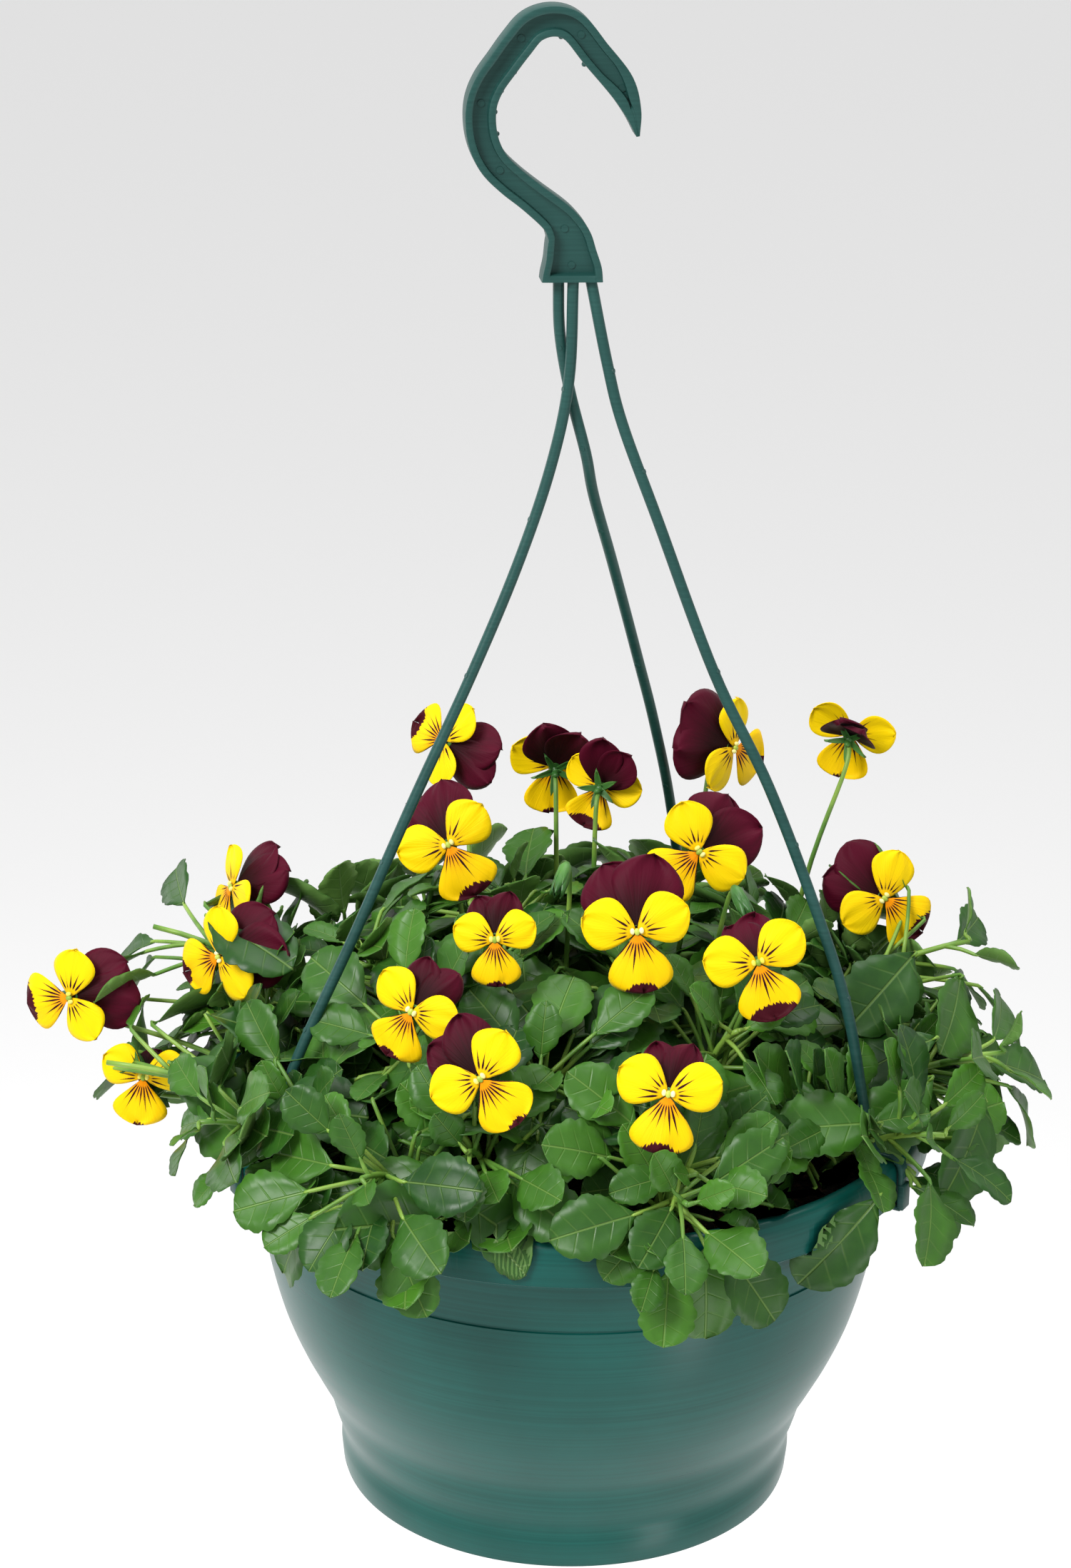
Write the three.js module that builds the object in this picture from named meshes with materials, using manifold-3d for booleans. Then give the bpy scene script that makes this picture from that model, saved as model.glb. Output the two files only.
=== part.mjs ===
// A viola hanging basket: a round plastic pot with a turned-down collar, its soil, a moulded hook
// with three strands clipped over the collar, and a dense mound of flowering violas.
// Lengths are millimetres and angles degrees, about the pot's axis, with height 0 at the pot's base.
// Azimuth 0 is +X (right), 90 is +Y (back), 270 is the front. The finished group is moved so that
// its origin is the point of the hook's inner curve that the basket hangs from.
import * as THREE from 'three';
import { mergeVertices } from 'three/addons/utils/BufferGeometryUtils.js';
import Module from 'manifold-3d';

const wasm = await Module();
wasm.setup();

// ---- driving dimensions ----
const gap = 0.3; // clearance between touching pieces

const wall = 2; // moulded wall of the pot
const floorUnderside = 5; // the floor stands on a foot ring this high
const footInner = 80.5;
const collarRadius = 134.5;
const collarFoot = 142.3; // lower edge of the turned-down collar
const rimTop = 158.8;
const roundSegments = 32;
const potOutside = [ // radius, height up the outer wall, foot to collar
  [85.5, 0], [86.6, 9], [86.6, 17], [92.5, 36], [103.5, 58], [109, 72],
  [113.3, 88], [116.3, 104], [118, 118], [122, 141],
];
const drainHoles = 6;
const drainRadius = 4.5;
const drainCircle = 58;

const soilRim = 144; // soil height at the wall
const soilCrown = 149; // soil height in the middle

const hookDepth = 9.6;
const hookWeb = 3; // plate left between the pockets of the two faces
const hookFlange = 2.8; // raised edge around each pocket
const hookTurn = 8; // the hook's plane is turned this far about the vertical
const hookSpine = [ // x, height, half width, from the base over the top to the tip
  [-5.9, 465, 10.7], [-5.9, 469.2, 10.2], [-6.4, 474.4, 8.9], [-7.2, 479.6, 7.9], [-8.8, 483.6, 6.8],
  [-12.2, 488, 5.7], [-20.2, 494.6, 5.3], [-27.8, 500.6, 5.3], [-33.6, 506.4, 5.3], [-37, 513, 5.3],
  [-38.4, 520.2, 5.3], [-38, 527.4, 5.3], [-35.4, 533.9, 5.3], [-31, 540.2, 5.3],
  [-26, 547, 5.4], [-20.8, 552.8, 5.3], [-13.7, 554.9, 5.2], [-6.8, 552.6, 5.2],
  [0.8, 543.6, 5.2], [9.3, 533.4, 4.9], [13.8, 524, 3], [15.8, 515.6, 0.6],
];
const seat = [-13.7, 549.7]; // x and height of the hook's inner crown

const strandRadius = 2;
const strapWidth = 5;
const strapThickness = 1.8;
const strands = [ // the lead holds [x, y, height] under the hook, the route [radius, height] at the clip's azimuth
  { name: 'strand_left', clip: 208, lead: [[-5, -2.4, 463.9]], route: [
    [6.6, 430], [13.2, 399], [26, 364], [44, 325], [66, 282], [90.6, 231.5], [109, 196], [119.5, 172],
  ] },
  { name: 'strand_right', clip: 332, lead: [[0.8, -0.6, 463.9]], route: [
    [8.4, 436], [15, 415], [30, 382], [53.8, 330], [77, 291], [98, 246.5], [111, 213], [120.5, 172],
  ] },
  { name: 'strand_back', clip: 68, lead: [[-10.2, 0, 463.9], [-9.4, 0.3, 446], [-5.6, 1, 425]], route: [
    [1.4, 402], [10, 384], [30, 353], [56, 311], [77, 276], [98, 234], [119.5, 172],
  ] },
];

const petalThickness = 0.9;
const maxReflex = 65;
const stalkRadius = 0.9;
const flowers = [ // x, y, height of the centre; facing azimuth and elevation; roll; size; upper petals' reflex
  { at: [-52, 85, 262], face: [222, 25], roll: -98, size: 0.95, reflex: 20 },
  { at: [-9, 84, 253], face: [94, 4], roll: 5, size: 1, reflex: 18 },
  { at: [9, 62, 253], face: [80, -12], roll: 20, size: 0.85, reflex: 10 },
  { at: [60, 84, 262], face: [322, 4], roll: 58, size: 1.05, reflex: 8 },
  { at: [105, 85, 268], face: [78, 8], roll: 12, size: 0.95, reflex: 42 },
  { at: [-47, 6, 250], face: [262, 18], roll: 32, size: 1.05, reflex: 12 },
  { at: [45, 4, 250], face: [275, 20], roll: -52, size: 1.05, reflex: 12 },
  { at: [22, -61, 245], face: [272, 20], roll: 6, size: 1.08, reflex: 8 },
  { at: [118, 48, 215], face: [286, 15], roll: 46, size: 1.02, reflex: 10 },
  { at: [65, -63, 235], face: [272, 22], roll: 18, size: 1.05, reflex: 38 },
  { at: [-28, -66, 243], face: [268, 20], roll: 4, size: 0.82, reflex: 10 },
  { at: [-56, -91, 226], face: [246, 10], roll: -24, size: 0.95, reflex: 12 },
  { at: [-31, -119, 214], face: [264, 16], roll: 44, size: 1, reflex: 8 },
  { at: [33, -122, 211], face: [270, 24], roll: -8, size: 1.02, reflex: 20 },
  { at: [-131, 46, 215], face: [205, 12], roll: -30, size: 0.92, reflex: 25 },
  { at: [-132, 2, 205], face: [230, 8], roll: -58, size: 1.02, reflex: 15 },
  { at: [-189, 7, 185], face: [246, 8], roll: -72, size: 1, reflex: 12 },
  { at: [-160, -9, 160], face: [266, 12], roll: -6, size: 0.92, reflex: 60 },
];
const buds = [
  { at: [60, -26, 243], face: [300, -35] },
  { at: [-5, -20, 248], face: [250, -40] },
];
const petals = [ // angle from the flower's up direction, length, width; anticlockwise from the lip
  { turn: 180, length: 20, width: 18 },
  { turn: 254, length: 18, width: 15 },
  { turn: 337, length: 24, width: 16 },
  { turn: 383, length: 24, width: 16 },
  { turn: 466, length: 18, width: 15 },
];

const leafThickness = 0.9;
const stemRadius = 1.3;
const leavesPerCluster = 12;
const modelledRanks = [1, 3, 5, 7, 9]; // the leaves of a cluster that are modelled, youngest first
const goldenAngle = 137.5;
const rings = [ // shoots that fill the mound, from its crown to the collar
  { name: 'crown_shoot', count: 4, root: 25, reach: 42, height: 220, start: 40 },
  { name: 'inner_shoot', count: 7, root: 60, reach: 88, height: 206, start: 12 },
  { name: 'outer_shoot', count: 10, root: 90, reach: 124, height: 182, start: 0 },
  { name: 'rim_shoot', count: 8, root: 104, reach: 147, height: 176, start: 22 },
];
const straggles = [ // root azimuth and radius, and the tip that the long shoot leans out to
  { name: 'left_low_straggle', root: [196, 100], tip: [-172, -22, 172] },
  { name: 'left_high_straggle', root: [165, 80], tip: [-160, 32, 204] },
  { name: 'right_high_straggle', root: [22, 80], tip: [150, 34, 204] },
  { name: 'right_low_straggle', root: [352, 95], tip: [160, -14, 180] },
];

const colours = {
  pot: 0x1d564f, soil: 0x2a1c12, hanger: 0x2e5f58, bloom: 0xf6dc05, bud: 0x5f8a3a, leaf: 0x2f6b2c,
};

// ---- plain geometry ----
const radians = (degrees) => degrees * Math.PI / 180;
const polar = (radius, azimuth, height) => new THREE.Vector3(
  radius * Math.cos(radians(azimuth)), radius * Math.sin(radians(azimuth)), height);

// A closed three.js geometry as a solid that can be joined and cut.
function solidOf(geometry) {
  geometry.deleteAttribute('normal');
  geometry.deleteAttribute('uv');
  const merged = mergeVertices(geometry, 1e-4);
  return new wasm.Manifold(new wasm.Mesh({
    numProp: 3,
    vertProperties: new Float32Array(merged.attributes.position.array),
    triVerts: new Uint32Array(merged.index.array),
  }));
}

function geometryOf(solid) {
  const mesh = solid.getMesh();
  const geometry = new THREE.BufferGeometry();
  geometry.setAttribute('position', new THREE.BufferAttribute(mesh.vertProperties, 3));
  geometry.setIndex(new THREE.BufferAttribute(mesh.triVerts, 1));
  geometry.computeVertexNormals();
  return geometry;
}

const join = (solids) => solids.reduce((whole, solid) => whole.add(solid));

// The largest connected body, for a solid that its neighbours have cut.
function largestBody(solid) {
  const bodies = solid.decompose();
  return bodies.reduce((best, body) => (body.volume() > best.volume() ? body : best));
}

const outlineShape = (points) => new THREE.Shape(points.map(([x, y]) => new THREE.Vector2(x, y)));

// Moves each edge of a closed counter-clockwise loop outwards by a distance.
function offsetLoop(points, distance) {
  const edgeNormal = (a, b) => new THREE.Vector2(b[1] - a[1], a[0] - b[0]).normalize();
  return points.map((point, index) => {
    const before = points[(index + points.length - 1) % points.length];
    const after = points[(index + 1) % points.length];
    const first = edgeNormal(before, point);
    const second = edgeNormal(point, after);
    const bisector = first.clone().add(second).normalize();
    const reach = distance / Math.max(0.5, bisector.dot(first));
    return [point[0] + bisector.x * reach, point[1] + bisector.y * reach];
  });
}

// A ring or disc turned about the pot's axis from a counter-clockwise profile of [radius, height].
function turned(profile) {
  const points = profile.map(([radius, height]) => new THREE.Vector2(Math.max(0, radius), height));
  if (profile[0][0] > 0) points.push(points[0].clone());
  const geometry = new THREE.LatheGeometry(points, roundSegments);
  geometry.rotateX(Math.PI / 2);
  return solidOf(geometry);
}

// A round tube along a smooth curve through the points.
function tube(points, radius, sides, steps) {
  const section = new THREE.Shape(Array.from({ length: sides }, (_, index) => {
    const angle = 2 * Math.PI * index / sides;
    return new THREE.Vector2(radius * Math.cos(angle), radius * Math.sin(angle));
  }));
  const curve = new THREE.CatmullRomCurve3(points, false, 'centripetal');
  return solidOf(new THREE.ExtrudeGeometry(section, { steps, bevelEnabled: false, extrudePath: curve }));
}

// A matrix whose y axis is a blade's length, whose z axis is its face and that starts at a point.
function bladeFrame(origin, direction, face) {
  const along = direction.clone().normalize();
  const normal = face.clone().addScaledVector(along, -face.dot(along)).normalize();
  const side = new THREE.Vector3().crossVectors(along, normal);
  return new THREE.Matrix4().makeBasis(side, along, normal).setPosition(origin);
}

// A thin plate with a straight stem, bent towards its back along its length.
function blade(outline, thickness, length, bend, matrix) {
  const geometry = new THREE.ExtrudeGeometry(outlineShape(outline), { depth: thickness, bevelEnabled: false });
  geometry.translate(0, 0, -thickness / 2);
  const position = geometry.attributes.position;
  for (let index = 0; index < position.count; index += 1) {
    const share = Math.max(0, position.getY(index)) / length;
    position.setZ(index, position.getZ(index) - bend * length * share * share);
  }
  geometry.applyMatrix4(matrix);
  return solidOf(geometry);
}

// ---- pot and soil ----
const insideOf = ([radius, height]) => [radius - wall * 1.08, height + 0.4];
const wallTop = potOutside[potOutside.length - 1];
const potInside = [...potOutside.slice(2).map(insideOf), [rimTop - 33.6, 153], [rimTop - 31.4, rimTop - 1.6]];

function potProfile() {
  const collarWall = collarRadius - wall;
  return [
    [0, floorUnderside], [footInner, floorUnderside], [footInner, 0], ...potOutside,
    [wallTop[0] + 4.4, 155.4], [collarWall - 0.6, 155.4], [collarWall, collarFoot], [collarRadius, collarFoot],
    [collarRadius - 0.2, 154.5], [collarRadius - 2.4, rimTop - 0.7], [collarRadius - 5, rimTop],
    ...potInside.slice().reverse(),
    [potOutside[1][0] - wall - 1.6, floorUnderside + wall + 0.2], [0, floorUnderside + wall],
  ];
}

function makePot() {
  const cutters = [];
  for (let index = 0; index < drainHoles; index += 1) {
    const hole = new THREE.CylinderGeometry(drainRadius, drainRadius, 12, 10);
    hole.rotateX(Math.PI / 2);
    hole.translate(...polar(drainCircle, 360 * (index + 0.5) / drainHoles, floorUnderside + 1).toArray());
    cutters.push(solidOf(hole));
  }
  return turned(potProfile()).subtract(join(cutters));
}

const soilHeight = (radius) => soilCrown - (soilCrown - soilRim) * (radius / 120) ** 2;

function soilProfile() {
  const bottom = floorUnderside + wall + 2 * gap;
  const side = potInside.slice(0, -2).map(([radius, height]) => [radius - 2 * gap, height]);
  const upper = [118, 90, 55].map((radius) => [radius, soilHeight(radius)]);
  return [[0, bottom], [potOutside[1][0] - 5, bottom], ...side, ...upper, [0, soilCrown]];
}

// ---- hook ----
// Both edges of a ribbon along part of the hook's spine, as one closed outline.
function spineRibbon(from, to, inset, count) {
  const spine = new THREE.CatmullRomCurve3(hookSpine.map(([x, z, half]) => new THREE.Vector3(x, z, half)));
  const left = [];
  const right = [];
  for (let index = 0; index <= count; index += 1) {
    const share = from + (to - from) * index / count;
    const point = spine.getPoint(share);
    const heading = spine.getTangent(share);
    const across = new THREE.Vector2(-heading.y, heading.x).normalize();
    const half = point.z - inset;
    left.push([point.x + across.x * half, point.y + across.y * half]);
    right.push([point.x - across.x * half, point.y - across.y * half]);
  }
  return [...right, ...left.reverse()];
}

function makeHook() {
  const plate = (outline, depth, start) => {
    const geometry = new THREE.ExtrudeGeometry(outlineShape(outline), { depth, bevelEnabled: false });
    geometry.translate(0, 0, start);
    geometry.rotateX(Math.PI / 2);
    geometry.rotateZ(radians(hookTurn));
    return solidOf(geometry);
  };
  const pocketDepth = (hookDepth - hookWeb) / 2;
  const pocket = spineRibbon(0.04, 0.9, hookFlange, 24);
  return plate(spineRibbon(0, 1, 0, 30), hookDepth, -hookDepth / 2)
    .subtract(plate(pocket, pocketDepth + 1, hookWeb / 2))
    .subtract(plate(pocket, pocketDepth + 1, -hookWeb / 2 - pocketDepth - 1));
}

// ---- strands ----
// The strap that the strand ends in: over the rim, down the collar and in under its lower edge.
function makeClip(azimuth, grow) {
  const inner = collarRadius + gap;
  const outer = inner + strapThickness;
  const strap = [
    [118.6, 172], [124.4, 160.6], [127.4, rimTop + 0.4], [129.5, rimTop + gap + 0.2],
    [collarRadius - 2.3, rimTop - 0.2], [inner, 154.8], [inner, collarFoot - gap],
    [collarRadius - 1.6, collarFoot - gap - 0.2], [collarRadius - 1.2, collarFoot - 2.4],
    [outer + 0.9, collarFoot - 2.4], [outer + 1.1, 150], [outer, 151.2], [outer, 156.4],
    [collarRadius - 1, rimTop + 1.7], [collarRadius - 4.4, rimTop + 2.6], [126.6, rimTop + 3.6], [121.6, 172.6],
  ];
  const width = strapWidth + 2 * grow;
  const outline = outlineShape(offsetLoop(strap.map(([radius, height]) => [-radius, height]).reverse(), grow));
  const geometry = new THREE.ExtrudeGeometry(outline, { depth: width, bevelEnabled: false });
  geometry.translate(0, 0, -width / 2);
  geometry.rotateX(Math.PI / 2);
  geometry.rotateZ(radians(azimuth + 180));
  return solidOf(geometry);
}

function makeStrand({ clip, lead, route }, grow) {
  const upper = lead.map((point) => new THREE.Vector3(...point));
  const points = [...upper, ...route.map(([radius, height]) => polar(radius, clip, height))];
  return tube(points, strandRadius + grow, 8, 14).add(makeClip(clip, grow));
}

// ---- flowers ----
// The outline of the open flower, five lobes about its centre with the upper pair along +Y.
function bloomOutline(size, grow) {
  return petals.flatMap(({ turn, length, width }) => {
    const heading = radians(turn + 90);
    const along = (reach, aside) => [
      reach * Math.cos(heading) - aside * Math.sin(heading), reach * Math.sin(heading) + aside * Math.cos(heading),
    ];
    const half = width * size / 2 + grow;
    const tip = length * size + grow;
    return [
      along(3, -2.2 - grow), along(tip * 0.66, -half), along(tip, -half * 0.45),
      along(tip, half * 0.45), along(tip * 0.66, half),
    ];
  });
}

// The open flower as one thin lobed plate: a shallow dish whose upper lobes are bent back.
function bloom(at, out, up, size, reflex, grow) {
  const thickness = petalThickness + 2 * grow;
  const outline = outlineShape(bloomOutline(size, grow));
  const geometry = new THREE.ExtrudeGeometry(outline, { depth: thickness, bevelEnabled: false });
  geometry.translate(0, 0, -thickness / 2);
  const position = geometry.attributes.position;
  for (let index = 0; index < position.count; index += 1) {
    const y = position.getY(index);
    const bentBack = Math.tan(radians(Math.min(reflex, maxReflex))) * Math.max(0, y - 4);
    const dished = 0.1 * Math.hypot(position.getX(index), Math.min(y, 0));
    position.setZ(index, position.getZ(index) - bentBack + dished);
  }
  geometry.applyMatrix4(bladeFrame(new THREE.Vector3(...at), up, out));
  return solidOf(geometry);
}

// Directions of a flower: out of its face, up along its upper petals, and to its side.
function flowerAxes([azimuth, elevation], roll) {
  const out = polar(Math.cos(radians(elevation)), azimuth, Math.sin(radians(elevation)));
  const level = new THREE.Vector3(0, 0, 1).addScaledVector(out, -out.z).normalize();
  const up = level.applyAxisAngle(out, radians(roll));
  return { out, up, side: new THREE.Vector3().crossVectors(up, out) };
}

// The stalk rises out of the soil, leans to the flower and turns over into its back.
function stalkPoints(at, out) {
  const centre = new THREE.Vector3(...at);
  const spread = Math.hypot(at[0], at[1]);
  const azimuth = Math.atan2(at[1], at[0]) * 180 / Math.PI;
  const rootRadius = Math.min(100, spread * 0.72);
  const root = polar(rootRadius, azimuth, soilHeight(rootRadius) + 2 * gap);
  const back = centre.clone().addScaledVector(out, -3.5);
  const neck = centre.clone().addScaledVector(out, -11);
  neck.z -= 9;
  const half = root.clone().lerp(neck, 0.5);
  half.z = root.z + (neck.z - root.z) * 0.62;
  return [root, half, neck, back];
}

function makeFlower({ at, face, roll, size, reflex }, grow) {
  const { out, up } = flowerAxes(face, roll);
  const cup = new THREE.ConeGeometry(3.2 + grow, 7 + 2 * grow, 5);
  cup.rotateX(-Math.PI / 2);
  const behind = new THREE.Vector3(...at).addScaledVector(out, -3);
  cup.applyMatrix4(bladeFrame(behind, up, out));
  const stalk = tube(stalkPoints(at, out), stalkRadius + grow, 4, 5);
  return join([bloom(at, out, up, size, reflex, grow), solidOf(cup), stalk]);
}

function makeBud({ at, face }, grow) {
  const { out, up } = flowerAxes(face, 0);
  const body = new THREE.SphereGeometry(4 + grow, 8, 6);
  body.scale(1, 1, 1.9);
  body.applyMatrix4(bladeFrame(new THREE.Vector3(...at), up, out));
  return solidOf(body).add(tube(stalkPoints(at, out), stalkRadius + grow, 4, 5));
}

// ---- leafy shoots ----
// Even-looking numbers in 0..1 that are the same every time.
class Draws {
  constructor(seed) {
    this.state = seed * 7919 + 17;
  }

  next() {
    this.state = (this.state * 16807) % 2147483647;
    return this.state / 2147483647;
  }

  between(low, high) {
    return low + (high - low) * this.next();
  }
}

// The stem's three guide points, and the direction that its cluster of leaves faces.
function planShoot(root, tip) {
  const guide = root.clone().lerp(tip, 0.35);
  guide.z = root.z + Math.max(tip.z - root.z, 24) * 0.85;
  const facing = new THREE.Vector3(tip.x * 0.9, tip.y * 0.9, 95).normalize();
  return { stem: new THREE.QuadraticBezierCurve3(root, guide, tip), facing };
}

// One leaf of a cluster: young ones small and upright at the tip, older ones longer, lower and flatter.
function planLeaf({ stem, facing }, index, turn, draws) {
  const angle = radians(turn + goldenAngle * index + draws.between(-16, 16));
  const length = Math.min(44, 19 + 4.2 * index) * draws.between(0.88, 1.12);
  const width = length * draws.between(0.52, 0.66);
  const rise = radians(58 - 13 * index + draws.between(-9, 9));
  const east = new THREE.Vector3(-facing.y, facing.x, 0).normalize();
  const north = new THREE.Vector3().crossVectors(facing, east);
  const outward = east.multiplyScalar(Math.cos(angle)).addScaledVector(north, Math.sin(angle));
  const tip = stem.getPoint(1);
  const start = stem.getPoint(Math.max(0.3, 1 - 0.1 * index));
  const base = tip.clone().addScaledVector(outward, 3 + 3.6 * index).addScaledVector(facing, -1.8 * index);
  const along = outward.clone().multiplyScalar(Math.cos(rise)).addScaledVector(facing, Math.sin(rise));
  along.z -= 0.05 * index;
  const face = facing.clone().multiplyScalar(Math.cos(rise)).addScaledVector(outward, -Math.sin(rise));
  return { start, base, along: along.normalize(), face, length, width, bend: draws.between(0.08, 0.28) };
}

function leafOutline(length, width, grow) {
  const half = width / 2 + grow;
  return [
    [0.9 + grow, -grow], [half, length * 0.42], [half * 0.66, length * 0.92 + grow],
    [-half * 0.66, length * 0.92 + grow], [-half, length * 0.42], [-0.9 - grow, -grow],
  ];
}

function makeLeaf({ start, base, along, face, length, width, bend }, grow) {
  const inBlade = base.clone().addScaledVector(along, 2);
  const petiole = tube([start, inBlade], 0.9 + grow, 3, 1);
  const matrix = bladeFrame(base, along, face);
  return petiole.add(blade(leafOutline(length, width, grow), leafThickness + 2 * grow, length, bend, matrix));
}

function makeShoot(plan, seed, grow) {
  const draws = new Draws(seed);
  const turn = draws.between(0, 360);
  const ranks = Array.from({ length: leavesPerCluster }, (_, rank) => rank);
  const leaves = ranks.map((rank) => planLeaf(plan, rank, turn, draws));
  const stem = tube(plan.stem.getPoints(3), stemRadius + grow, 4, 3);
  return join([stem, ...modelledRanks.map((rank) => makeLeaf(leaves[rank], grow))]);
}

// Every shoot's name, plan and seed, in the order in which they are grown.
function planShoots() {
  const plans = [];
  for (const { name, root, tip } of straggles) {
    const start = polar(root[1], root[0], soilHeight(root[1]) + 2 * gap);
    plans.push({ name, plan: planShoot(start, new THREE.Vector3(...tip)) });
  }
  for (const ring of rings) {
    for (let index = 0; index < ring.count; index += 1) {
      const draws = new Draws(100 + plans.length);
      const azimuth = ring.start + 360 * index / ring.count + draws.between(-7, 7);
      const start = polar(ring.root, azimuth, soilHeight(ring.root) + 2 * gap);
      const tip = polar(ring.reach * draws.between(0.95, 1.05), azimuth, ring.height + draws.between(-5, 5));
      plans.push({ name: `${ring.name}_${String(index + 1).padStart(2, '0')}`, plan: planShoot(start, tip) });
    }
  }
  return plans;
}

// ---- assembly ----
const basket = new THREE.Group();
const placed = []; // each finished piece with its clearance added, for its later neighbours to avoid

function addPiece(name, solid, colour, roughness) {
  const material = new THREE.MeshStandardMaterial({ color: colour, roughness, metalness: 0 });
  const mesh = new THREE.Mesh(geometryOf(solid), material);
  mesh.name = name;
  basket.add(mesh);
}

const touches = (a, b) => [0, 1, 2].every((axis) => a.min[axis] < b.max[axis] && b.min[axis] < a.max[axis]);

// Cuts a new piece back from everything already placed, then keeps its one main body.
function addPlant(name, make, colour) {
  let solid = make(0);
  const box = solid.boundingBox();
  for (const other of placed) {
    if (touches(box, other.box)) solid = solid.subtract(other.solid);
  }
  solid = largestBody(solid);
  const grown = make(gap);
  placed.push({ solid: grown, box: grown.boundingBox() });
  addPiece(name, solid, colour, 0.5);
}

function keepClearOf(solid) {
  placed.push({ solid, box: solid.boundingBox() });
}

addPiece('pot', makePot(), colours.pot, 0.4);
keepClearOf(turned(offsetLoop([...potProfile().slice(3, -2), [0, 9], [0, 2]], gap)));
addPiece('soil', turned(soilProfile()), colours.soil, 1);
keepClearOf(turned(offsetLoop(soilProfile(), gap)));
addPiece('hook', makeHook(), colours.hanger, 0.45);
for (const strand of strands) {
  addPiece(strand.name, makeStrand(strand, 0), colours.hanger, 0.45);
  keepClearOf(makeStrand(strand, gap));
}
flowers.forEach((flower, index) => {
  addPlant(`flower_${String(index + 1).padStart(2, '0')}`, (grow) => makeFlower(flower, grow), colours.bloom);
});
buds.forEach((bud, index) => {
  addPlant(`bud_${index + 1}`, (grow) => makeBud(bud, grow), colours.bud);
});
planShoots().forEach(({ name, plan }, index) => {
  addPlant(name, (grow) => makeShoot(plan, index + 1, grow), colours.leaf);
});

const turn = radians(hookTurn);
basket.position.set(-seat[0] * Math.cos(turn), -seat[0] * Math.sin(turn), -seat[1]);

const violaHangingBasket = new THREE.Group();
violaHangingBasket.add(basket);
export default violaHangingBasket;
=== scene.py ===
"""The finish of a viola hanging basket: plastic pot, moulded hanger, compost, leaves and flowers.

Lengths are millimetres about the pot's axis, with height 0 at the pot's base, until a piece is
finished: then its mesh is moved into the frame's metres. Azimuth 270 degrees is the front.
"""
import logging
import math
from dataclasses import dataclass
from enum import Enum

import bmesh
import bpy
from mathutils import Matrix, Vector, noise


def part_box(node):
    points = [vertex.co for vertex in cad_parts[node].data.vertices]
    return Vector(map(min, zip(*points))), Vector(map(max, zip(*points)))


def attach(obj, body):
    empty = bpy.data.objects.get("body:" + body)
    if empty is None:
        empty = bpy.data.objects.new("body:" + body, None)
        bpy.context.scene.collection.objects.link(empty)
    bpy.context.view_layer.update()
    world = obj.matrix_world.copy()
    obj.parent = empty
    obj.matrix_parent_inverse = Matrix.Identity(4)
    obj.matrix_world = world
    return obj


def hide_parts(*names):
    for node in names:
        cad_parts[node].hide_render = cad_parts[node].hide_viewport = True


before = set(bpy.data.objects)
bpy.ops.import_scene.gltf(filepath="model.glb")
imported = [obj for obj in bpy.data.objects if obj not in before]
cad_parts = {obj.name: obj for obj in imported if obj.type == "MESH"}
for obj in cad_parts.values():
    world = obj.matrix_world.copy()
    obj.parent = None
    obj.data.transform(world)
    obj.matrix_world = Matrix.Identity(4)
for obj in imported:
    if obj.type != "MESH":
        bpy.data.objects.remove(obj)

LOG = logging.getLogger("viola_basket")
MM = 0.001
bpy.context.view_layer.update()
POT_LOW, POT_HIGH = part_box("pot")
POT_CENTRE = Vector(((POT_LOW.x + POT_HIGH.x) / 2, (POT_LOW.y + POT_HIGH.y) / 2, POT_LOW.z))
TO_FRAME = Matrix.Translation(POT_CENTRE) @ Matrix.Scale(MM, 4)


# ---- plain geometry ----

def polar(radius: float, azimuth: float, height: float) -> Vector:
    """Gives the point at a radius, an azimuth in degrees and a height."""
    angle = math.radians(azimuth)
    return Vector((radius * math.cos(angle), radius * math.sin(angle), height))


def heading_of(azimuth: float, elevation: float) -> Vector:
    """Gives the unit vector that looks to an azimuth and an elevation in degrees."""
    return polar(math.cos(math.radians(elevation)), azimuth, math.sin(math.radians(elevation)))


def blade_matrix(origin: Vector, along: Vector, face: Vector) -> Matrix:
    """Makes the matrix of a blade that starts at a point.

    Args:
        origin: where the blade starts.
        along: its direction of growth, the matrix's y axis.
        face: the way its upper side looks, made square to along, the matrix's z axis.

    Returns:
        The matrix from the blade's own millimetres to the pot's.
    """
    y_axis = along.normalized()
    z_axis = (face - y_axis * face.dot(y_axis)).normalized()
    x_axis = y_axis.cross(z_axis)
    matrix = Matrix((x_axis, y_axis, z_axis)).transposed().to_4x4()
    matrix.translation = origin
    return matrix


def smooth_path(points: list[Vector], steps: int) -> list[Vector]:
    """Runs a smooth curve through the points.

    Args:
        points: the points that the curve passes through.
        steps: how many pieces the whole curve is cut into.

    Returns:
        Evenly shared points along the curve, both ends included.
    """
    padded = [points[0] * 2 - points[1], *points, points[-1] * 2 - points[-2]]
    curve = []
    spans = len(points) - 1
    for step in range(steps + 1):
        place = min(step * spans / steps, spans - 1e-9)
        span = int(place)
        share = place - span
        before, start, end, after = padded[span:span + 4]
        curve.append(0.5 * (
            2 * start + (end - before) * share
            + (2 * before - 5 * start + 4 * end - after) * share ** 2
            + (3 * start - before - 3 * end + after) * share ** 3
        ))
    return curve


def ring_about(
    centre: Vector, heading: Vector, up: Vector, section: list[tuple[float, float]],
) -> list[Vector]:
    """Places a cross-section's (aside, outward) points square to a heading."""
    aside = heading.cross(up).normalized()
    outward = aside.cross(heading).normalized()
    return [centre + aside * x + outward * y for x, y in section]


def round_section(radius: float, sides: int) -> list[tuple[float, float]]:
    """Gives the corners of a round cross-section."""
    turns = [2 * math.pi * side / sides for side in range(sides)]
    return [(radius * math.cos(turn), radius * math.sin(turn)) for turn in turns]


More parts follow.
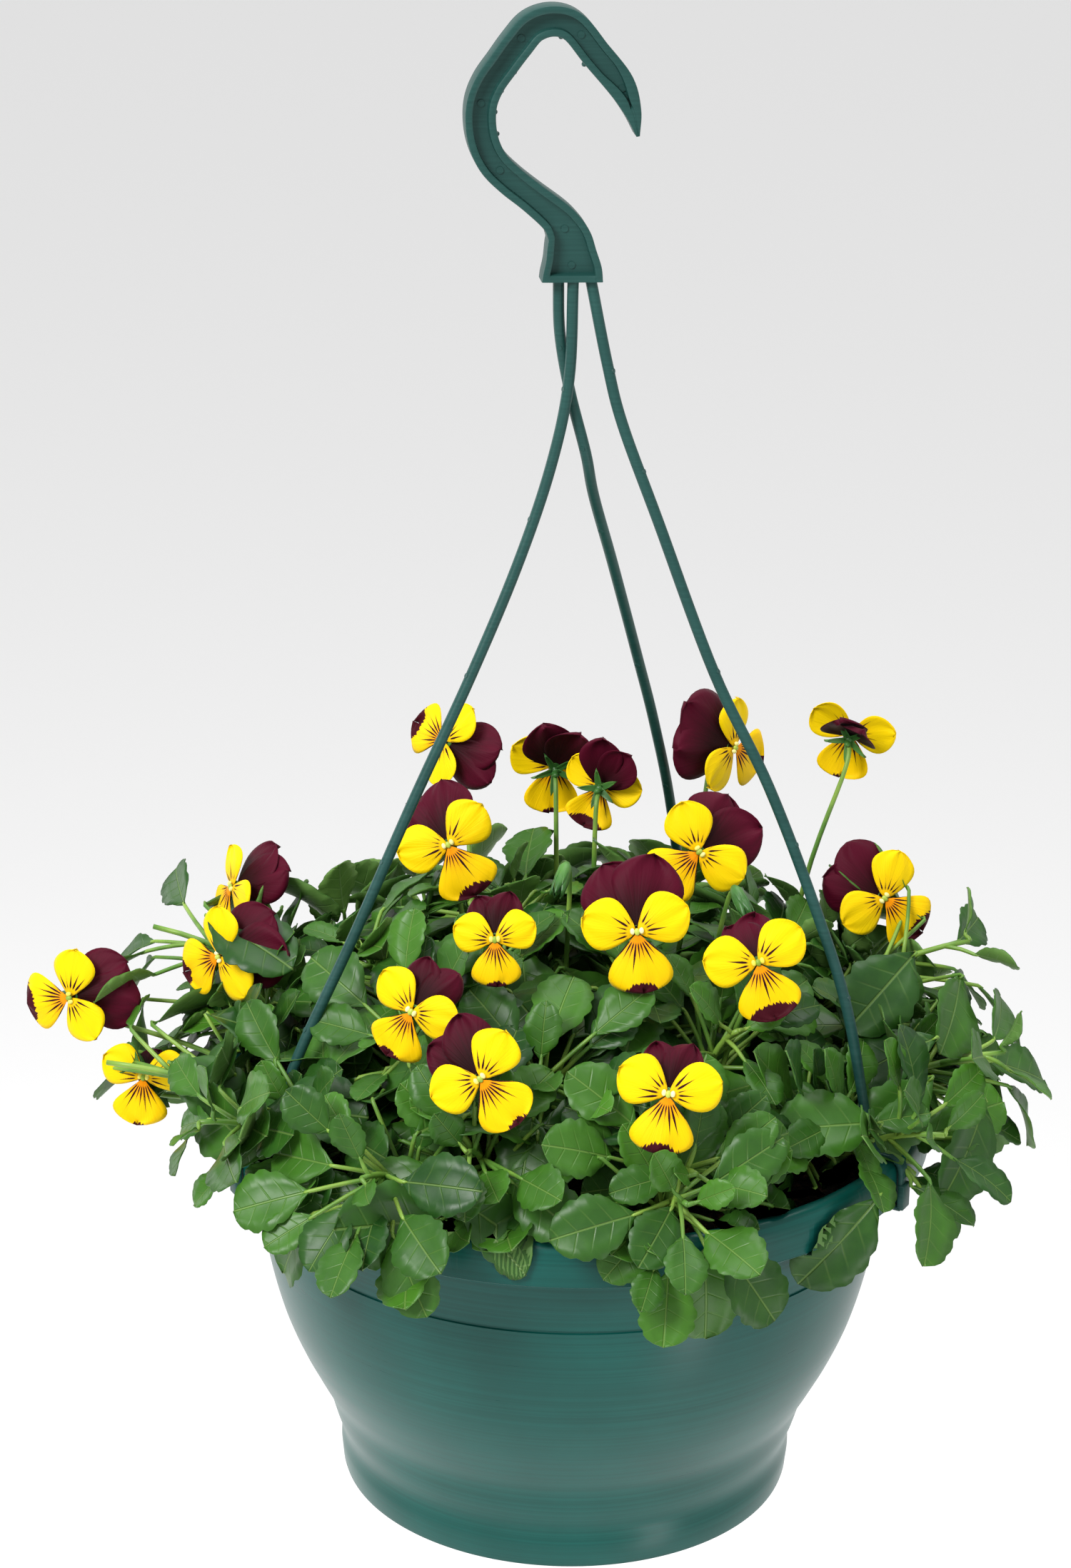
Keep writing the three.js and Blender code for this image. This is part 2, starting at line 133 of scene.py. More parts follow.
def sweep(mesh: bmesh.types.BMesh, rings: list[list[Vector]], slot: int = 0) -> list[bmesh.types.BMFace]:
    """Extrudes one closed skin from ring to ring, with a cap at both ends.

    Args:
        mesh: the mesh that the skin is added to.
        rings: the points of each ring, all with the same count.
        slot: the material slot of the new faces.

    Returns:
        The new faces, pointing outwards.
    """
    ring = [mesh.verts.new(point) for point in rings[0]]
    faces = [mesh.faces.new(ring)]
    for points in rings[1:]:
        edges = [mesh.edges.get((ring[index - 1], vert)) for index, vert in enumerate(ring)]
        grown = bmesh.ops.extrude_edge_only(mesh, edges=edges)["geom"]
        fresh = {item for item in grown if isinstance(item, bmesh.types.BMVert)}
        faces += [item for item in grown if isinstance(item, bmesh.types.BMFace)]
        following = []
        for vert, point in zip(ring, points):
            others = (edge.other_vert(vert) for edge in vert.link_edges)
            partner = next(other for other in others if other in fresh)
            partner.co = point
            following.append(partner)
        ring = following
    faces.append(mesh.faces.new(ring))
    for face in faces:
        face.material_index = slot
    bmesh.ops.recalc_face_normals(mesh, faces=faces)
    return faces


def tube(mesh: bmesh.types.BMesh, path: list[Vector], radii: list[float], sides: int, slot: int = 0) -> None:
    """Sweeps a round tube whose radius may change along a path.

    Args:
        mesh: the mesh that the tube is added to.
        path: the centre of each ring.
        radii: the radius of each ring.
        sides: how many sides the tube has.
        slot: the material slot of the tube.
    """
    steep = abs((path[-1] - path[0]).normalized().z) >= 0.9
    up = Vector((0.9, 0.3, 0.1)) if steep else Vector((0.31, 0.17, 0.94))
    rings = []
    for index, centre in enumerate(path):
        heading = (path[min(index + 1, len(path) - 1)] - path[max(index - 1, 0)]).normalized()
        rings.append(ring_about(centre, heading, up, round_section(radii[index], sides)))
    sweep(mesh, rings, slot)


def finish_piece(
    mesh: bmesh.types.BMesh, name: str, materials: list[bpy.types.Material], nodes: list[str],
    sharp_degrees: float | None = None,
) -> bpy.types.Object:
    """Turns a mesh in the pot's millimetres into a finished piece that rides in the frame.

    Args:
        mesh: the finished mesh, which is freed.
        name: the piece's name.
        materials: its materials, in slot order.
        nodes: the CAD nodes that it stands for.
        sharp_degrees: edges sharper than this stay crisp, and None smooths them all.

    Returns:
        The new object.
    """
    bmesh.ops.transform(mesh, matrix=TO_FRAME, verts=mesh.verts)
    for face in mesh.faces:
        face.smooth = True
    data = bpy.data.meshes.new(name)
    mesh.to_mesh(data)
    mesh.free()
    if sharp_degrees is not None:
        data.set_sharp_from_angle(angle=math.radians(sharp_degrees))
    for material in materials:
        data.materials.append(material)
    piece = bpy.data.objects.new(name, data)
    bpy.context.scene.collection.objects.link(piece)
    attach(piece, "root")
    if nodes:
        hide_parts(*nodes)
    LOG.info("%s: %d faces", name, len(data.polygons))
    return piece


class Draws:
    """Even-looking numbers that come out the same every time."""

    def __init__(self, seed: int) -> None:
        """Starts a series from its seed."""
        self.state = seed * 7919 + 17

    def between(self, low: float, high: float) -> float:
        """Gives the next number between two limits."""
        self.state = self.state * 16807 % 2147483647
        return low + (high - low) * self.state / 2147483647


# ---- finishes ----

def linear(colour: str) -> tuple[float, float, float, float]:
    """Turns an sRGB hex colour such as #1d564f into linear values with full alpha."""
    channels = [int(colour[index:index + 2], 16) / 255 for index in (1, 3, 5)]
    curved = [c / 12.92 if c <= 0.04045 else ((c + 0.055) / 1.055) ** 2.4 for c in channels]
    return (*curved, 1.0)


def add_node(tree: bpy.types.NodeTree, kind: str, settings: dict | None = None, links: dict | None = None):
    """Adds a shader node.

    Args:
        tree: the material's node tree.
        kind: the node's type name.
        settings: properties by name, and input values by name or number.
        links: for an input's name or number, the socket that feeds it.

    Returns:
        The new node.
    """
    node = tree.nodes.new(kind)
    for key, value in (settings or {}).items():
        if isinstance(key, str) and hasattr(node, key):
            setattr(node, key, value)
        else:
            node.inputs[key].default_value = value
    for key, socket in (links or {}).items():
        tree.links.new(socket, node.inputs[key])
    return node


def calculate(tree: bpy.types.NodeTree, operation: str, *terms):
    """Adds a maths node on sockets and numbers and gives its result socket."""
    settings = {"operation": operation}
    settings.update({index: term for index, term in enumerate(terms) if isinstance(term, (int, float))})
    links = {index: term for index, term in enumerate(terms) if not isinstance(term, (int, float))}
    return add_node(tree, "ShaderNodeMath", settings, links).outputs[0]


def hypotenuse(tree: bpy.types.NodeTree, first, second):
    """Gives the root of the sum of two sockets' squares."""
    squares = [calculate(tree, "MULTIPLY", term, term) for term in (first, second)]
    return calculate(tree, "SQRT", calculate(tree, "ADD", *squares))


def blend_colours(tree: bpy.types.NodeTree, share, first, second):
    """Mixes two colours, each a hex colour or a socket, by a share and gives the result socket."""
    node = add_node(tree, "ShaderNodeMix", {"data_type": "RGBA"})
    for index, colour in ((6, first), (7, second)):
        if isinstance(colour, str):
            node.inputs[index].default_value = linear(colour)
        else:
            tree.links.new(colour, node.inputs[index])
    if isinstance(share, (int, float)):
        node.inputs[0].default_value = share
    else:
        tree.links.new(share, node.inputs[0])
    return node.outputs[2]


def fade(tree: bpy.types.NodeTree, value, start: float, end: float):
    """Turns a value into 0 at start and 1 at end, smoothly."""
    settings = {"interpolation_type": "SMOOTHSTEP", "From Min": start, "From Max": end}
    return add_node(tree, "ShaderNodeMapRange", settings, {"Value": value}).outputs[0]


def start_material(name: str, settings: dict) -> tuple[bpy.types.Material, bpy.types.NodeTree, bpy.types.Node]:
    """Makes a node material.

    Args:
        name: the material's name.
        settings: constant values for its surface shader's own sockets.

    Returns:
        The material, its node tree and its surface shader.
    """
    material = bpy.data.materials.new(name)
    material.use_nodes = True
    tree = material.node_tree
    shader = tree.nodes["Principled BSDF"]
    for key, value in settings.items():
        shader.inputs[key].default_value = value
    return material, tree, shader


def bump(tree: bpy.types.NodeTree, shader: bpy.types.Node, height, depth_mm: float, strength: float) -> None:
    """Raises a surface by a height pattern whose full depth is given in millimetres."""
    node = add_node(tree, "ShaderNodeBump", {"Strength": strength, "Distance": depth_mm * MM}, {"Height": height})
    tree.links.new(node.outputs[0], shader.inputs["Normal"])


@dataclass(frozen=True)
class MouldedPolypropylene:
    """Injection-moulded polypropylene: an even colour under a soft gloss with faint drawn lines."""

    name: str
    colour: str
    pale: str
    roughness: float
    line_spacing: float = 0.9  # turning lines left by the mould, drawn coarse enough to show
    collar_marks: int = 0  # shallow sink marks over the ribs behind the collar

    def material(self) -> bpy.types.Material:
        """Builds the finish, with level lines, cloudy roughness and the collar's sink marks."""
        material, tree, shader = start_material(self.name, {"IOR": 1.49, "Specular IOR Level": 0.25})
        place = add_node(tree, "ShaderNodeTexCoord").outputs["Object"]
        centred = add_node(tree, "ShaderNodeMapping", {"Location": tuple(-POT_CENTRE)}, {"Vector": place})
        squash = (4.0, 4.0, 1 / (self.line_spacing * MM))
        lines_at = add_node(tree, "ShaderNodeMapping", {"Scale": squash}, {"Vector": centred.outputs[0]})
        lines = add_node(
            tree, "ShaderNodeTexNoise", {"Scale": 1.0, "Detail": 3.0}, {"Vector": lines_at.outputs[0]})
        clouds = add_node(
            tree, "ShaderNodeTexNoise", {"Scale": 26.0, "Detail": 4.0}, {"Vector": centred.outputs[0]})
        grain = add_node(tree, "ShaderNodeTexNoise", {"Scale": 1400.0, "Detail": 2.0}, {"Vector": place})
        cloudy = calculate(tree, "MULTIPLY", clouds.outputs[0], 0.5)
        mottle = calculate(tree, "MULTIPLY_ADD", lines.outputs[0], 0.5, cloudy)
        colour = blend_colours(tree, fade(tree, mottle, 0.3, 0.8), self.colour, self.pale)
        tree.links.new(colour, shader.inputs["Base Color"])
        rough = calculate(tree, "MULTIPLY_ADD", mottle, 0.16, self.roughness - 0.08)
        tree.links.new(rough, shader.inputs["Roughness"])
        grainy = calculate(tree, "MULTIPLY", grain.outputs[0], 0.4)
        height = calculate(tree, "MULTIPLY_ADD", lines.outputs[0], 0.6, grainy)
        if self.collar_marks:
            height = calculate(tree, "SUBTRACT", height, self.sink_marks(tree, centred.outputs[0]))
        bump(tree, shader, height, 0.05, 0.35)
        return material

    def sink_marks(self, tree: bpy.types.NodeTree, place):
        """Gives the narrow upright hollows on the collar, one over each rib behind it."""
        parts = add_node(tree, "ShaderNodeSeparateXYZ", links={"Vector": place}).outputs
        azimuth = calculate(tree, "ARCTAN2", parts["Y"], parts["X"])
        wave = calculate(tree, "COSINE", calculate(tree, "MULTIPLY_ADD", azimuth, float(self.collar_marks), math.pi))
        reach = hypotenuse(tree, parts["X"], parts["Y"])
        on_outside = fade(tree, reach, 0.1325, 0.1335)
        on_collar = calculate(tree, "MULTIPLY", on_outside, fade(tree, parts["Z"], 0.143, 0.147))
        marks = calculate(tree, "MULTIPLY", fade(tree, wave, 0.965, 1.0), on_collar)
        return calculate(tree, "MULTIPLY", marks, 2.6)


@dataclass(frozen=True)
class MoistCompost:
    """Peat-free compost: matt, nearly black when wet, with paler fibres between the crumbs."""

    dark: str = "#120c07"
    pale: str = "#4a3220"
    crumb: float = 3.0  # millimetres across

    def material(self) -> bpy.types.Material:
        """Builds the finish from two sizes of crumb."""
        material, tree, shader = start_material("moist_compost", {"Roughness": 0.95, "Specular IOR Level": 0.2})
        place = add_node(tree, "ShaderNodeTexCoord").outputs["Object"]
        cells = add_node(tree, "ShaderNodeTexVoronoi", {"Scale": 1 / (self.crumb * MM)}, {"Vector": place})
        fibre = add_node(tree, "ShaderNodeTexNoise", {"Scale": 480.0, "Detail": 6.0}, {"Vector": place})
        colour = blend_colours(tree, fade(tree, fibre.outputs[0], 0.48, 0.75), self.dark, self.pale)
        tree.links.new(colour, shader.inputs["Base Color"])
        height = calculate(tree, "SUBTRACT", fibre.outputs[0], cells.outputs["Distance"])
        bump(tree, shader, height, 1.2, 0.9)
        return material


@dataclass(frozen=True)
class LeafSkin:
    """A viola leaf's skin: waxy green with a sunken pale midrib and side veins."""

    name: str
    dark: str
    light: str
    vein: str
    roughness: float
    vein_show: float
    vein_pairs: float = 5.0

    def material(self) -> bpy.types.Material:
        """Builds the finish from the blade's own plan: across, along and tone."""
        material, tree, shader = start_material(self.name, {"IOR": 1.45, "Specular IOR Level": 0.34})
        plan = add_node(tree, "ShaderNodeAttribute", {"attribute_name": "plan"}).outputs["Vector"]
        across, along, tone = add_node(tree, "ShaderNodeSeparateXYZ", links={"Vector": plan}).outputs
        place = add_node(tree, "ShaderNodeTexCoord").outputs["Object"]
        patches = add_node(tree, "ShaderNodeTexNoise", {"Scale": 120.0, "Detail": 3.0}, {"Vector": place}).outputs[0]
        aside = calculate(tree, "ABSOLUTE", across)
        midrib = fade(tree, aside, 0.05, 0.012)
        slant = calculate(tree, "MULTIPLY_ADD", aside, -0.2, along)
        phase = calculate(tree, "FRACT", calculate(tree, "MULTIPLY", slant, self.vein_pairs))
        side = fade(tree, calculate(tree, "ABSOLUTE", calculate(tree, "SUBTRACT", phase, 0.5)), 0.08, 0.0)
        side = calculate(tree, "MULTIPLY", side, fade(tree, aside, 0.9, 0.2))
        veins = calculate(tree, "MAXIMUM", midrib, calculate(tree, "MULTIPLY", side, 0.4))
        shade = calculate(tree, "MULTIPLY_ADD", patches, 0.5, calculate(tree, "MULTIPLY_ADD", tone, 0.8, -0.2))
        skin = blend_colours(tree, shade, self.dark, self.light)
        colour = blend_colours(tree, calculate(tree, "MULTIPLY", veins, self.vein_show), skin, self.vein)
        tree.links.new(colour, shader.inputs["Base Color"])
        rough = calculate(tree, "MULTIPLY_ADD", patches, 0.2, self.roughness - 0.1)
        tree.links.new(rough, shader.inputs["Roughness"])
        pillow = calculate(tree, "MULTIPLY_ADD", veins, -0.8, calculate(tree, "MULTIPLY", patches, 0.4))
        bump(tree, shader, pillow, 0.5, 0.8)
        return material


@dataclass(frozen=True)
class PlantStem:
    """A soft green stem: a little translucent, smooth and faintly streaked."""

    name: str
    dark: str
    light: str

    def material(self) -> bpy.types.Material:
        """Builds the finish with slow changes of green along the stem."""
        settings = {"Roughness": 0.42, "IOR": 1.42, "Subsurface Weight": 0.1, "Subsurface Scale": 0.001}
        material, tree, shader = start_material(self.name, settings)
        place = add_node(tree, "ShaderNodeTexCoord").outputs["Object"]
        drift = add_node(tree, "ShaderNodeTexNoise", {"Scale": 60.0, "Detail": 2.0}, {"Vector": place}).outputs[0]
        tree.links.new(blend_colours(tree, fade(tree, drift, 0.35, 0.65), self.dark, self.light), shader.inputs[0])
        return material


class PetalPart(Enum):
    """Which petal a finish is for, because each has its own marks."""

    UPPER = "upper"
    SIDE = "side"
    LIP = "lip"


@dataclass(frozen=True)
class PetalVelvet:
    """A viola petal: velvety, with fine cells that scatter light and dark honey lines at its throat."""

    part: PetalPart
    # on the upper petals the edge colour is partly a painted sheen over the maroon
    edge: str
    # on the yellow petals the heart colour is partly the real orange throat and partly painted shade near it
    heart: str
    line: str = "#2a0710"
    line_gap: float = 0.26  # radians between honey lines
    line_end: float = 9.0  # millimetres from the throat
    line_width: float = 0.85

    def material(self) -> bpy.types.Material:
        """Builds the finish from the petal's own plan: aside and along in millimetres, and tone."""
        settings = {"Roughness": 0.6, "Sheen Weight": 0.04, "Sheen Roughness": 0.4, "Specular IOR Level": 0.1}
        material, tree, shader = start_material(f"petal_{self.part.value}", settings)
        plan = add_node(tree, "ShaderNodeAttribute", {"attribute_name": "plan"}).outputs["Vector"]
        aside, along, tone = add_node(tree, "ShaderNodeSeparateXYZ", links={"Vector": plan}).outputs
        angle = calculate(tree, "ARCTAN2", aside, along)
        reach = hypotenuse(tree, aside, along)
        turned = calculate(tree, "MULTIPLY", angle, 9.0)
        fan_at = add_node(tree, "ShaderNodeCombineXYZ", links={0: turned, 1: tone}).outputs[0]
        fan = add_node(tree, "ShaderNodeTexNoise", {"Scale": 2.2, "Detail": 4.0}, {"Vector": fan_at}).outputs[0]
        if self.part is PetalPart.UPPER:
            colour = self.maroon(tree, reach, fan, tone)
        else:
            colour = self.yellow(tree, angle, reach, aside, along, fan, tone)
        tree.links.new(colour, shader.inputs["Base Color"])
        bump(tree, shader, fan, 0.35, 0.5)
        return material

    def maroon(self, tree: bpy.types.NodeTree, reach, fan, tone):
        """Gives deep maroon that turns magenta towards the edge, streaked from the throat: the darker heart is the
        petal's own colour, and the lighter magenta edge is partly its colour and partly a painted sheen.
        """
        # painted sheen in part: the colour lightens to magenta towards the edge, where velvet catches the light, over
        # the petal's own deeper heart
        spread = calculate(tree, "MULTIPLY_ADD", fan, 9.0, calculate(tree, "MULTIPLY_ADD", tone, 8.0, reach))
        return blend_colours(tree, fade(tree, spread, 14.0, 32.0), self.heart, self.edge)

    def yellow(self, tree: bpy.types.NodeTree, angle, reach, aside, along, fan, tone):
        """Gives clear yellow that turns orange towards the throat, partly the real orange throat and partly painted
        shade where the petal runs into the centre, with honey lines and, on the lip, a maroon blotch.
        """
        # painted shade in part: the colour darkens to orange near the throat, where the petal runs into the flower's
        # centre, over the real orange throat
        orange_throat_and_shade_reach = calculate(tree, "MULTIPLY_ADD", fan, 4.0, reach)
        colour = blend_colours(tree, fade(tree, orange_throat_and_shade_reach, 14.0, 4.0), self.edge, self.heart)
        steps = calculate(tree, "DIVIDE", angle, self.line_gap)
        index = calculate(tree, "ROUND", steps)
        off_line = calculate(tree, "ABSOLUTE", calculate(tree, "SUBTRACT", steps, index))
        off_line = calculate(tree, "MULTIPLY", calculate(tree, "MULTIPLY", off_line, reach), self.line_gap)
        chance_at = calculate(tree, "ADD", index, calculate(tree, "MULTIPLY", tone, 37.0))
        white = add_node(tree, "ShaderNodeTexWhiteNoise", {"noise_dimensions": "1D"}, {"W": chance_at})
        chance = white.outputs["Value"]
        end = calculate(tree, "MULTIPLY_ADD", chance, self.line_end * 0.5, self.line_end * 0.6)
        left = calculate(tree, "DIVIDE", calculate(tree, "SUBTRACT", end, reach), self.line_end)
        taper = calculate(tree, "MINIMUM", calculate(tree, "MAXIMUM", left, 0.0), 0.5)
        width = calculate(tree, "MULTIPLY", taper, self.line_width)
        width = calculate(tree, "MINIMUM", width, calculate(tree, "MULTIPLY", reach, self.line_gap * 0.27))
        line = fade(tree, calculate(tree, "SUBTRACT", width, off_line), -0.04, 0.06)
        line = calculate(tree, "MULTIPLY", line, fade(tree, reach, 3.0, 4.2))
        line = calculate(tree, "MULTIPLY", line, fade(tree, calculate(tree, "ABSOLUTE", angle), 0.95, 0.8))
        colour = blend_colours(tree, line, colour, self.line)
        if self.part is PetalPart.LIP:
            drop = calculate(tree, "SUBTRACT", along, 20.5)
            spread = calculate(tree, "MULTIPLY", aside, 0.6)
            away = hypotenuse(tree, drop, spread)
            size = calculate(tree, "MULTIPLY_ADD", tone, 5.0, calculate(tree, "MULTIPLY_ADD", fan, 4.0, -0.8))
            blotch = fade(tree, calculate(tree, "SUBTRACT", size, away), -0.2, 0.2)
            colour = blend_colours(tree, blotch, colour, "#3c0714")
        return colour


@dataclass(frozen=True)
class Palette:
    """Every finish of the basket, built once."""

    pot: bpy.types.Material
    hanger: bpy.types.Material
    compost: bpy.types.Material
    leaf: bpy.types.Material
    leaf_back: bpy.types.Material
    stem: bpy.types.Material
    sepal: bpy.types.Material
    upper: bpy.types.Material
    side: bpy.types.Material
    lip: bpy.types.Material
    throat: bpy.types.Material
    stigma: bpy.types.Material


def mix_palette() -> Palette:
    """Builds the basket's finishes."""
    return Palette(
        pot=MouldedPolypropylene("pot_polypropylene", "#07443e", "#0d544d", 0.3, collar_marks=32).material(),
        hanger=MouldedPolypropylene("hanger_polypropylene", "#183d39", "#264f4a", 0.42).material(),
        compost=MoistCompost().material(),
        leaf=LeafSkin("leaf_upper_skin", "#183e12", "#44761f", "#7c9a4c", 0.4, 0.34).material(),
        leaf_back=LeafSkin("leaf_under_skin", "#43692f", "#6d9148", "#8fae72", 0.55, 0.5).material(),
        stem=PlantStem("stem_skin", "#4f7a2c", "#7b9c3e").material(),
        sepal=PlantStem("sepal_skin", "#2c5a24", "#4f8236").material(),
        # upper petals: the magenta edge colour is partly the petal's own colour and partly a painted sheen
        upper=PetalVelvet(PetalPart.UPPER, "#49041c", "#1e0204").material(),
        # yellow petals: the heart colour is partly the real orange throat and partly painted shade near it
        side=PetalVelvet(PetalPart.SIDE, "#eac600", "#e8b600", line_gap=0.3, line_end=10.5).material(),
        lip=PetalVelvet(PetalPart.LIP, "#ebc000", "#e88a00", line_gap=0.2, line_end=14.0).material(),
        throat=PlantStem("throat_beard", "#e3d84a", "#f2eeb4").material(),
        stigma=PlantStem("stigma_skin", "#7d9a2c", "#b9c850").material(),
    )


# ---- pot and compost ----

@dataclass
class Pot:
    """The round pot: foot ring, bellied wall, a fine line and a turned-down collar on ribs."""

    wall: float = 2.0
    floor_underside: float = 5.0
    foot_inner: float = 80.5
    collar_radius: float = 134.5
    collar_foot: float = 142.3
    rim_top: float = 158.8
    line_height: float = 116.6  # fine moulded line round the wall
    line_depth: float = 0.7
    ribs: int = 32
    drain_holes: int = 6
    drain_radius: float = 4.5
    drain_circle: float = 58.0
    belly: tuple[tuple[float, float], ...] = (
        (86.6, 9), (86.6, 17), (89.4, 26), (92.5, 36), (97.6, 46), (103.5, 58), (109, 72), (113.3, 88), (116.3, 104),
        (118, 118), (120.1, 130), (122, 141),
    )

    def outline(self) -> list[Vector]:
        """Gives the closed profile of radius and height, round the wall from the floor's underside."""
        outer = smooth_path([Vector((radius, 0, height)) for radius, height in self.belly], 66)
        inner = [Vector((point.x - self.wall * 1.05, 0, point.z + 0.4)) for point in outer if point.z > 16]
        near = min(outer, key=lambda point: abs(point.z - self.line_height))
        line = [Vector((near.x - depth, 0, near.z + rise)) for rise, depth in (
            (-0.75, 0.1), (-0.45, self.line_depth), (0.45, self.line_depth), (0.75, -0.1))]
        place = outer.index(near)
        outer[place:place + 1] = line
        groove = [(self.wall_top() + 4.4, 155.4), (self.collar_radius - 2.6, 155.4)]
        skirt = [
            (self.collar_radius - 2, self.collar_foot + 0.3), (self.collar_radius - 1.6, self.collar_foot),
            (self.collar_radius - 0.4, self.collar_foot), (self.collar_radius, self.collar_foot + 0.4),
            (self.collar_radius, 150), (self.collar_radius - 0.2, 154), (self.collar_radius - 0.8, 156.4),
            (self.collar_radius - 2, self.rim_top - 0.8), (self.collar_radius - 3.6, self.rim_top - 0.1),
            (self.collar_radius - 5.2, self.rim_top - 0.1), (self.collar_radius - 6.5, self.rim_top - 0.9),
            (self.collar_radius - 7.3, self.rim_top - 2.4), (self.wall_top() + 2.8, 153),
        ]
        floor_top = self.floor_underside + self.wall
        rows = [
            (0, self.floor_underside), (self.foot_inner, self.floor_underside), (self.foot_inner, 0.6),
            (self.foot_inner + 0.6, 0), (84.8, 0), (85.5, 0.5), (85.9, 1.8), *[(p.x, p.z) for p in outer], *groove,
            *skirt, *[(p.x, p.z) for p in reversed(inner)], (84.2, 9.4), (82.6, floor_top + 0.2), (0, floor_top),
        ]
        return [Vector((radius, 0, height)) for radius, height in rows]

    def wall_top(self) -> float:
        """Gives the wall's outer radius where the collar turns down over it."""
        return self.belly[-1][0]

    def build(self, palette: Palette) -> bpy.types.Object:
        """Spins the wall, adds the ribs behind the collar and cuts the drain holes."""
        mesh = bmesh.new()
        verts = [mesh.verts.new(point) for point in self.outline()]
        edges = [mesh.edges.new(pair) for pair in zip(verts, verts[1:])]
        bmesh.ops.spin(
            mesh, geom=[*verts, *edges], axis=(0, 0, 1), cent=(0, 0, 0), steps=144, angle=2 * math.pi,
            use_merge=True,
        )
        bmesh.ops.remove_doubles(mesh, verts=mesh.verts, dist=0.01)
        bmesh.ops.recalc_face_normals(mesh, faces=mesh.faces)
        self.drill(mesh)
        for index in range(self.ribs):
            size = (self.collar_radius - self.wall_top() - 3.4, 1.4, 10.5)
            middle = (self.wall_top() + self.collar_radius) / 2 + 0.4
            turn = Matrix.Rotation(2 * math.pi * (index + 0.5) / self.ribs, 4, "Z")
            place = turn @ Matrix.Translation((middle, 0, 149.8)) @ Matrix.Diagonal((*size, 1))
            bmesh.ops.create_cube(mesh, size=1.0, matrix=place)
        return finish_piece(mesh, "pot_shell", [palette.pot], ["pot"], 32)

    def radius_at(self, height: float) -> float:
        """Gives the pot's outer radius at a height, the collar included."""
        if height >= self.collar_foot - 1:
            return self.collar_radius
        for (low_radius, low), (high_radius, high) in zip(self.belly, self.belly[1:]):
            if low <= height <= high:
                return low_radius + (high_radius - low_radius) * (height - low) / (high - low)
        return self.belly[0][0]

    def keep_clear(self, point: Vector, outside: bool) -> Vector:
        """Moves a leaf's point off the pot.

        Args:
            point: a point of a leaf or its stalk.
            outside: whether the leaf hangs outside the collar.

        Returns:
            The point, moved out of the wall or lifted off the rim where it was in them.
        """
        reach = point.xy.length
        if point.z > self.rim_top + 1.4:
            return point
        wall = self.radius_at(point.z)
        if outside and reach < wall + 2:
            scale = (wall + 2) / reach
            return Vector((point.x * scale, point.y * scale, point.z))
        if not outside and wall - 17 < reach < self.collar_radius + 1.5:
            return Vector((point.x, point.y, self.rim_top + 1.4))
        return point

    def drill(self, mesh: bmesh.types.BMesh) -> None:
        """Cuts the drain holes through the floor and leaves clean walls in them.

        Args:
            mesh: the spun pot, whose floor is cut in place.
        """
        drill = bmesh.new()
        for index in range(self.drain_holes):
            place = Matrix.Translation(polar(self.drain_circle, 60 * (index + 0.5), self.floor_underside + 1))
            bmesh.ops.create_cone(
                drill, cap_ends=True, segments=24, radius1=self.drain_radius, radius2=self.drain_radius, depth=8,
                matrix=place,
            )
        shells = []
        for name, part in (("pot_blank", mesh), ("drain_drill", drill)):
            data = bpy.data.meshes.new(name)
            part.to_mesh(data)
            shells.append(bpy.data.objects.new(name, data))
            bpy.context.scene.collection.objects.link(shells[-1])
        drill.free()
        cut = shells[0].modifiers.new("drain", "BOOLEAN")
        cut.operation, cut.object, cut.solver = "DIFFERENCE", shells[1], "EXACT"
        bpy.context.view_layer.update()
        done = shells[0].evaluated_get(bpy.context.evaluated_depsgraph_get()).to_mesh()
        mesh.clear()
        mesh.from_mesh(done)
        for shell in shells:
            bpy.data.objects.remove(shell)


def soil_height(radius: float) -> float:
    """Gives the compost's height at a radius, crowned in the middle."""
    return 149 - 5 * (radius / 120) ** 2


@dataclass
class Compost:
    """The compost: a crumbly crowned top with loose crumbs on it."""

    radius: float = 120.5
    crumbs: int = 520

    def build(self, palette: Palette) -> bpy.types.Object:
        """Builds the top from a grid cut to a disc and scatters the crumbs."""
        mesh = bmesh.new()
        bmesh.ops.create_grid(mesh, x_segments=110, y_segments=110, size=self.radius)
        outside = [vert for vert in mesh.verts if vert.co.xy.length > self.radius]
        bmesh.ops.delete(mesh, geom=outside, context="VERTS")
        for vert in mesh.verts:
            rough = noise.fractal(vert.co * 0.14, 1.0, 2.0, 4) * 1.6 + noise.noise(vert.co * 0.6) * 0.9
            vert.co.z = soil_height(vert.co.xy.length) + rough
        rim = [edge for edge in mesh.edges if edge.is_boundary]
        for vert in {vert for edge in rim for vert in edge.verts}:
            vert.co.xy = vert.co.xy.normalized() * self.radius
            vert.co.z = soil_height(self.radius)
        grown = bmesh.ops.extrude_edge_only(mesh, edges=rim)["geom"]
        skirt = [item for item in grown if isinstance(item, bmesh.types.BMVert)]
        for vert in skirt:
            vert.co = Vector((vert.co.x * 0.92, vert.co.y * 0.92, 126))
        bottom = [edge for edge in mesh.edges if edge.is_boundary]
        bmesh.ops.contextual_create(mesh, geom=bottom)
        bmesh.ops.recalc_face_normals(mesh, faces=mesh.faces)
        draws = Draws(900)
        for _ in range(self.crumbs):
            reach = self.radius * 0.98 * math.sqrt(draws.between(0, 1))
            place = polar(reach, draws.between(0, 360), soil_height(reach) + 0.6)
            size = draws.between(0.7, 2.4)
            shape = Matrix.Translation(place) @ Matrix.Rotation(draws.between(0, 3), 4, "Z") @ Matrix.Diagonal(
                (size, size * draws.between(0.5, 1), size * 0.6, 1))
            bmesh.ops.create_icosphere(mesh, subdivisions=1, radius=1.0, matrix=shape)
        return finish_piece(mesh, "compost_top", [palette.compost], ["soil"], 50)


# ---- hanger ----

